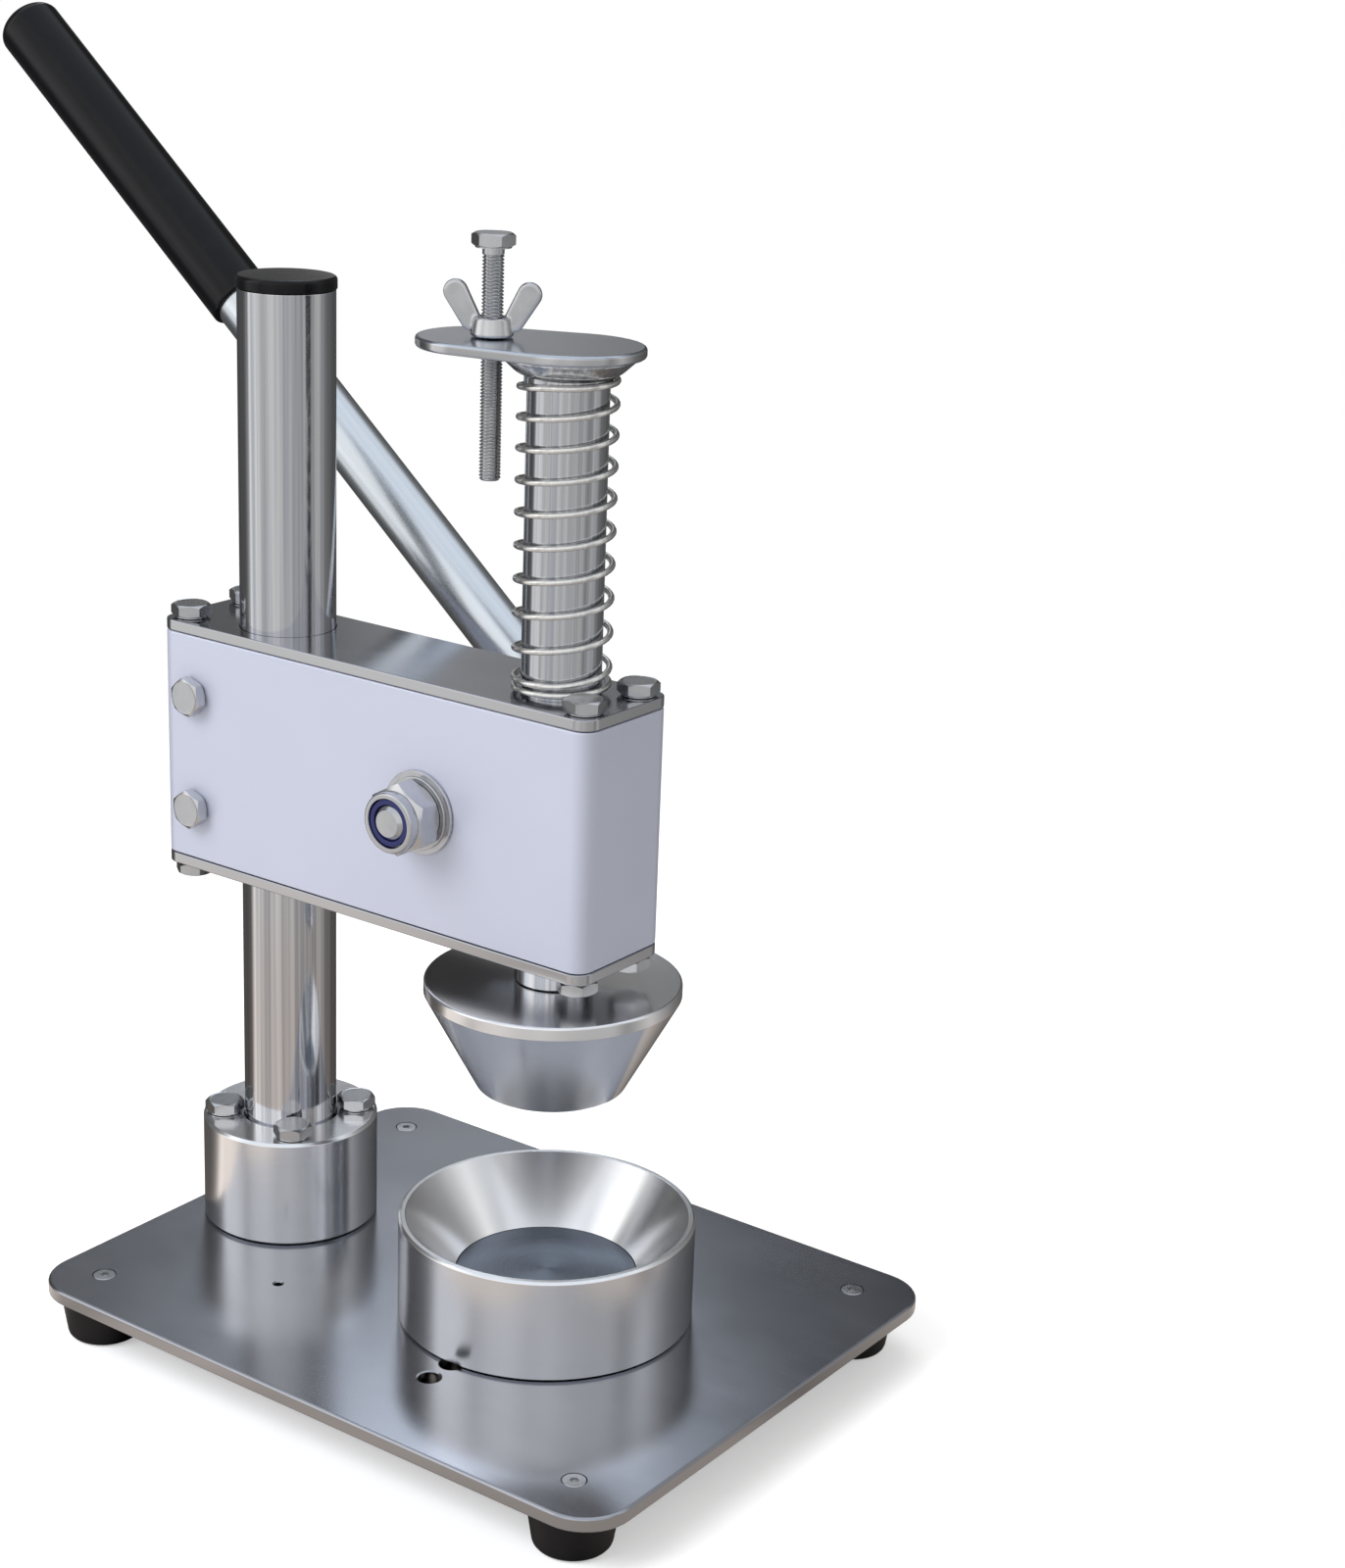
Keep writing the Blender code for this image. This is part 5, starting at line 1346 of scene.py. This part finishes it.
def wire_mesh(points):
    """Mesh of the spring's wire along its centre line."""
    curve = bpy.data.curves.new("spring_line", "CURVE")
    curve.dimensions = "3D"
    curve.bevel_depth = SPRING_WIRE_RADIUS
    curve.bevel_resolution = SPRING_WIRE_STEPS
    curve.use_fill_caps = True
    spline = curve.splines.new("POLY")
    spline.points.add(len(points) - 1)
    for spline_point, point in zip(spline.points, points):
        spline_point.co = (*point, 1)
    line = in_scene("spring_line", curve)
    bpy.context.view_layer.update()
    data = bpy.data.meshes.new_from_object(line)
    bpy.data.objects.remove(line)
    data.shade_smooth()
    return data


def dress_spring():
    low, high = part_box("return_spring")
    data = wire_mesh(spring_points(low.z + SPRING_WIRE_RADIUS, high.z - SPRING_WIRE_RADIUS))
    spring = in_scene("return_spring_detailed", data)
    data.materials.clear()
    data.materials.append(finishes["spring_steel"])
    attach(spring, "head")
    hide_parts("return_spring")
    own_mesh(spring)


# Studio

def make_camera():
    """Camera of the photograph, level with its rolled frame."""
    a, e, r = CAMERA_AZIMUTH, CAMERA_ELEVATION, CAMERA_ROLL
    back = Vector((sin(a) * cos(e), -cos(a) * cos(e), sin(e)))
    right = Vector((cos(a), sin(a), 0))
    up = back.cross(right)
    across = cos(r) * right + sin(r) * up
    upward = cos(r) * up - sin(r) * right
    data = bpy.data.cameras.new("camera")
    data.sensor_fit = "VERTICAL"
    data.sensor_height = SENSOR_MILLIMETRES
    data.lens = FOCAL_PIXELS * SENSOR_MILLIMETRES / PHOTO_HEIGHT_PIXELS
    data.clip_start = CAMERA_CLIP_START
    camera = in_scene("camera", data)
    foot = Vector((column_axis.x, column_axis.y, high_z("base_plate")))
    turn = Matrix((across, upward, back)).transposed().to_4x4()
    camera.matrix_world = Matrix.Translation(foot + Vector(CAMERA_PLACE)) @ turn
    bpy.context.scene.camera = camera


def compass(azimuth, elevation):
    """Direction at an azimuth from +X and an elevation, both in degrees."""
    a = radians(azimuth)
    e = radians(elevation)
    return Vector((cos(a) * cos(e), sin(a) * cos(e), sin(e)))


# Grey levels round the press, by azimuth in degrees from +X: in front as metal shows them
FRONT_LEVELS = (
    (-180, 0.10), (-168, 0.10), (-158, 0.16), (-150, 0.36), (-143, 1.05), (-136, 0.86),
    (-127, 0.90), (-117, 0.78), (-108, 0.50), (-98, 0.70), (-80, 0.76), (-64, 0.60),
    (-48, 0.64), (-36, 0.54), (-15, 0.48), (0, 0.50), (10, 0.28), (20, 0.42),
    (30, 0.60), (42, 0.38), (58, 0.20), (80, 0.12),
)

# Behind the press, near the floor and above it
FLOOR_LEVELS = (*FRONT_LEVELS, (130, 0.06), (180, 0.10))
WALL_GAIN = 1.6
WALL_LEVELS = (
    *((degrees, WALL_GAIN * level) for degrees, level in FRONT_LEVELS),
    (112, 0.08), (119, 0.06), (124, 0.12), (127, 0.30), (131, 0.42),
    (133, 0.16), (142, 0.20), (155, 0.14), (180, 0.10),
)

# Light from above, the window's place and reach in degrees, and what matte surfaces receive
OVERHEAD_RISES = (0.60, 0.80)
OVERHEAD_COLOUR = (0.86, 0.91, 0.98)
TABLE_TINT = (1.0, 0.90, 0.83)
WINDOW_AZIMUTH = 130
WINDOW_ELEVATION = 36
WINDOW_REACH = 6.5
WINDOW_COLOUR = (2.9, 3.2, 3.6)
SOFT_LIGHT = (0.50, 0.50, 0.50)


def banded(tree, direction, levels):
    """Grey level of the studio by the direction's azimuth, and how far the direction rises."""
    parts = add(tree, "ShaderNodeSeparateXYZ", {"Vector": direction}).outputs
    azimuth = maths(tree, "ARCTAN2", parts["Y"], parts["X"])
    turn = ranged(tree, azimuth, -pi, pi)
    ramp = add(tree, "ShaderNodeValToRGB", {"Fac": turn})
    stops = ramp.color_ramp.elements
    stops.remove(stops[-1])
    for place, (degrees, level) in enumerate(levels):
        position = (degrees + 180) / 360
        stop = stops[0] if place == 0 else stops.new(position)
        stop.position = position
        stop.color = (level, level, level, 1)
    return ramp.outputs["Color"], parts["Z"]


def make_world():
    """White to the camera; a plain studio with soft bands to what the metal reflects."""
    world = bpy.data.worlds.new("studio")
    world.use_nodes = True
    tree = world.node_tree
    tree.nodes.clear()
    direction = add(tree, "ShaderNodeTexCoord").outputs["Generated"]
    bands, rise = banded(tree, direction, WALL_LEVELS)
    overhead = ranged(tree, rise, *OVERHEAD_RISES, "SMOOTHSTEP")
    above = blended(tree, overhead, bands, OVERHEAD_COLOUR)
    aim = compass(WINDOW_AZIMUTH, WINDOW_ELEVATION)
    towards = vector_maths(tree, "DOT_PRODUCT", direction, aim, output="Value")
    window = ranged(tree, towards, cos(radians(WINDOW_REACH)), 1, "SMOOTHSTEP")
    level = blended(tree, window, above, WINDOW_COLOUR)
    light_path = add(tree, "ShaderNodeLightPath").outputs
    soft = blended(tree, light_path["Is Glossy Ray"], SOFT_LIGHT, level)
    colour = blended(tree, light_path["Is Camera Ray"], soft, (1, 1, 1))
    background = add(tree, "ShaderNodeBackground", {"Color": colour, "Strength": 1.0})
    output = add(tree, "ShaderNodeOutputWorld")
    tree.links.new(background.outputs["Background"], output.inputs["Surface"])
    bpy.context.scene.world = world


def mixed_shader(tree, factor, first, second):
    mix = add(tree, "ShaderNodeMixShader", {0: factor, 1: first, 2: second})
    return mix.outputs["Shader"]


def outside_painted_shadow(tree, place, first, last):
    """Painted shadow: zero under the base plate, where no light reaches the floor, and one elsewhere."""
    half = size("base_plate") / 2
    centred = vector_maths(tree, "SUBTRACT", place, middle("base_plate"))
    shares = vector_maths(tree, "DIVIDE", centred, (half.x, half.y, 1))
    parts = add(tree, "ShaderNodeSeparateXYZ", {"Vector": shares}).outputs
    along = maths(tree, "ABSOLUTE", parts["X"])
    across = maths(tree, "ABSOLUTE", parts["Y"])
    return ranged(tree, maths(tree, "MAXIMUM", along, across), first, last)


def glowing(tree, strength, colour=(1, 1, 1, 1)):
    inputs = {"Color": colour, "Strength": strength}
    return add(tree, "ShaderNodeEmission", inputs).outputs["Emission"]


def floor_to_camera(tree, place, away, matte):
    """Matte near the press, where its shadow lies, with a glow that drops to a painted shadow under the base
    plate, and plain white further off.
    """
    # The glow drops to zero under the base plate: a painted shadow.
    glow = glowing(tree, spread(tree, outside_painted_shadow(tree, place, *GLOW_SHADOW_SHARES), 0, FLOOR_GLOW))
    lit = add(tree, "ShaderNodeAddShader", {0: matte, 1: glow}).outputs["Shader"]
    far = ranged(tree, away, SHADOW_REACH, 2 * SHADOW_REACH, "SMOOTHSTEP")
    return mixed_shader(tree, far, lit, glowing(tree, 1.0))


def floor_in_metal(tree, place, away):
    """The studio's bands, tinted near the press, and darkened under it by a painted shadow."""
    bands, _ = banded(tree, place, FLOOR_LEVELS)
    near = ranged(tree, away, TINT_END, TINT_START)
    tinted = vector_maths(tree, "MULTIPLY", bands, blended(tree, near, (1, 1, 1), TABLE_TINT))
    return glowing(tree, outside_painted_shadow(tree, place, *SHINE_SHADOW_SHARES), tinted)


def make_floor():
    """Pale floor: white to the camera with a soft shadow, partly cast and partly painted under the base
    plate; the studio's bands in metal.
    """
    mesh = bmesh.new()
    bmesh.ops.create_grid(mesh, x_segments=1, y_segments=1, size=FLOOR_REACH)
    floor = placed("floor", mesh)
    made = bpy.data.materials.new("floor")
    made.use_nodes = True
    tree = made.node_tree
    tree.nodes.clear()
    place = add(tree, "ShaderNodeNewGeometry").outputs["Position"]
    away = vector_maths(tree, "LENGTH", place, output="Value")
    matte = add(tree, "ShaderNodeBsdfDiffuse", {"Color": FLOOR_COLOUR}).outputs["BSDF"]
    light_path = add(tree, "ShaderNodeLightPath").outputs
    seen = floor_to_camera(tree, place, away, matte)
    to_camera = mixed_shader(tree, light_path["Is Camera Ray"], matte, seen)
    mirrored = floor_in_metal(tree, place, away)
    surface = mixed_shader(tree, light_path["Is Glossy Ray"], to_camera, mirrored)
    output = add(tree, "ShaderNodeOutputMaterial")
    tree.links.new(surface, output.inputs["Surface"])
    floor.data.materials.append(made)


def area_light(name, azimuth, elevation, distance, width, power, colour):
    """Soft square lamp aimed at the press from a compass direction, unseen in the metal."""
    data = bpy.data.lights.new(name, "AREA")
    data.shape = "SQUARE"
    data.size = width
    data.energy = power
    data.color = colour
    lamp = in_scene(name, data)
    away = compass(azimuth, elevation)
    aim = (cad_box[0] + cad_box[1]) / 2
    turn = away.to_track_quat("Z", "Y").to_matrix().to_4x4()
    lamp.matrix_world = Matrix.Translation(aim + away * distance) @ turn
    lamp.visible_glossy = False


def make_lights():
    for name, values in LAMPS.items():
        area_light(name, *values)


def main():
    bpy.context.scene.view_settings.view_transform = "Standard"
    make_camera()
    for dress in (
        dress_frame, dress_base_plate, dress_flat_screws, dress_feet, dress_column, dress_collar,
        dress_die, dress_housing, dress_covers, dress_bolts, dress_clamp_nuts, dress_shaft_washer,
        dress_lock_nut, dress_shaft, dress_hub, dress_arm, dress_ram, dress_punch, dress_stop_plate,
        dress_spring_collar, dress_stop_bolt, dress_wing_nut, dress_spring,
    ):
        dress()
    make_world()
    make_floor()
    make_lights()


main()
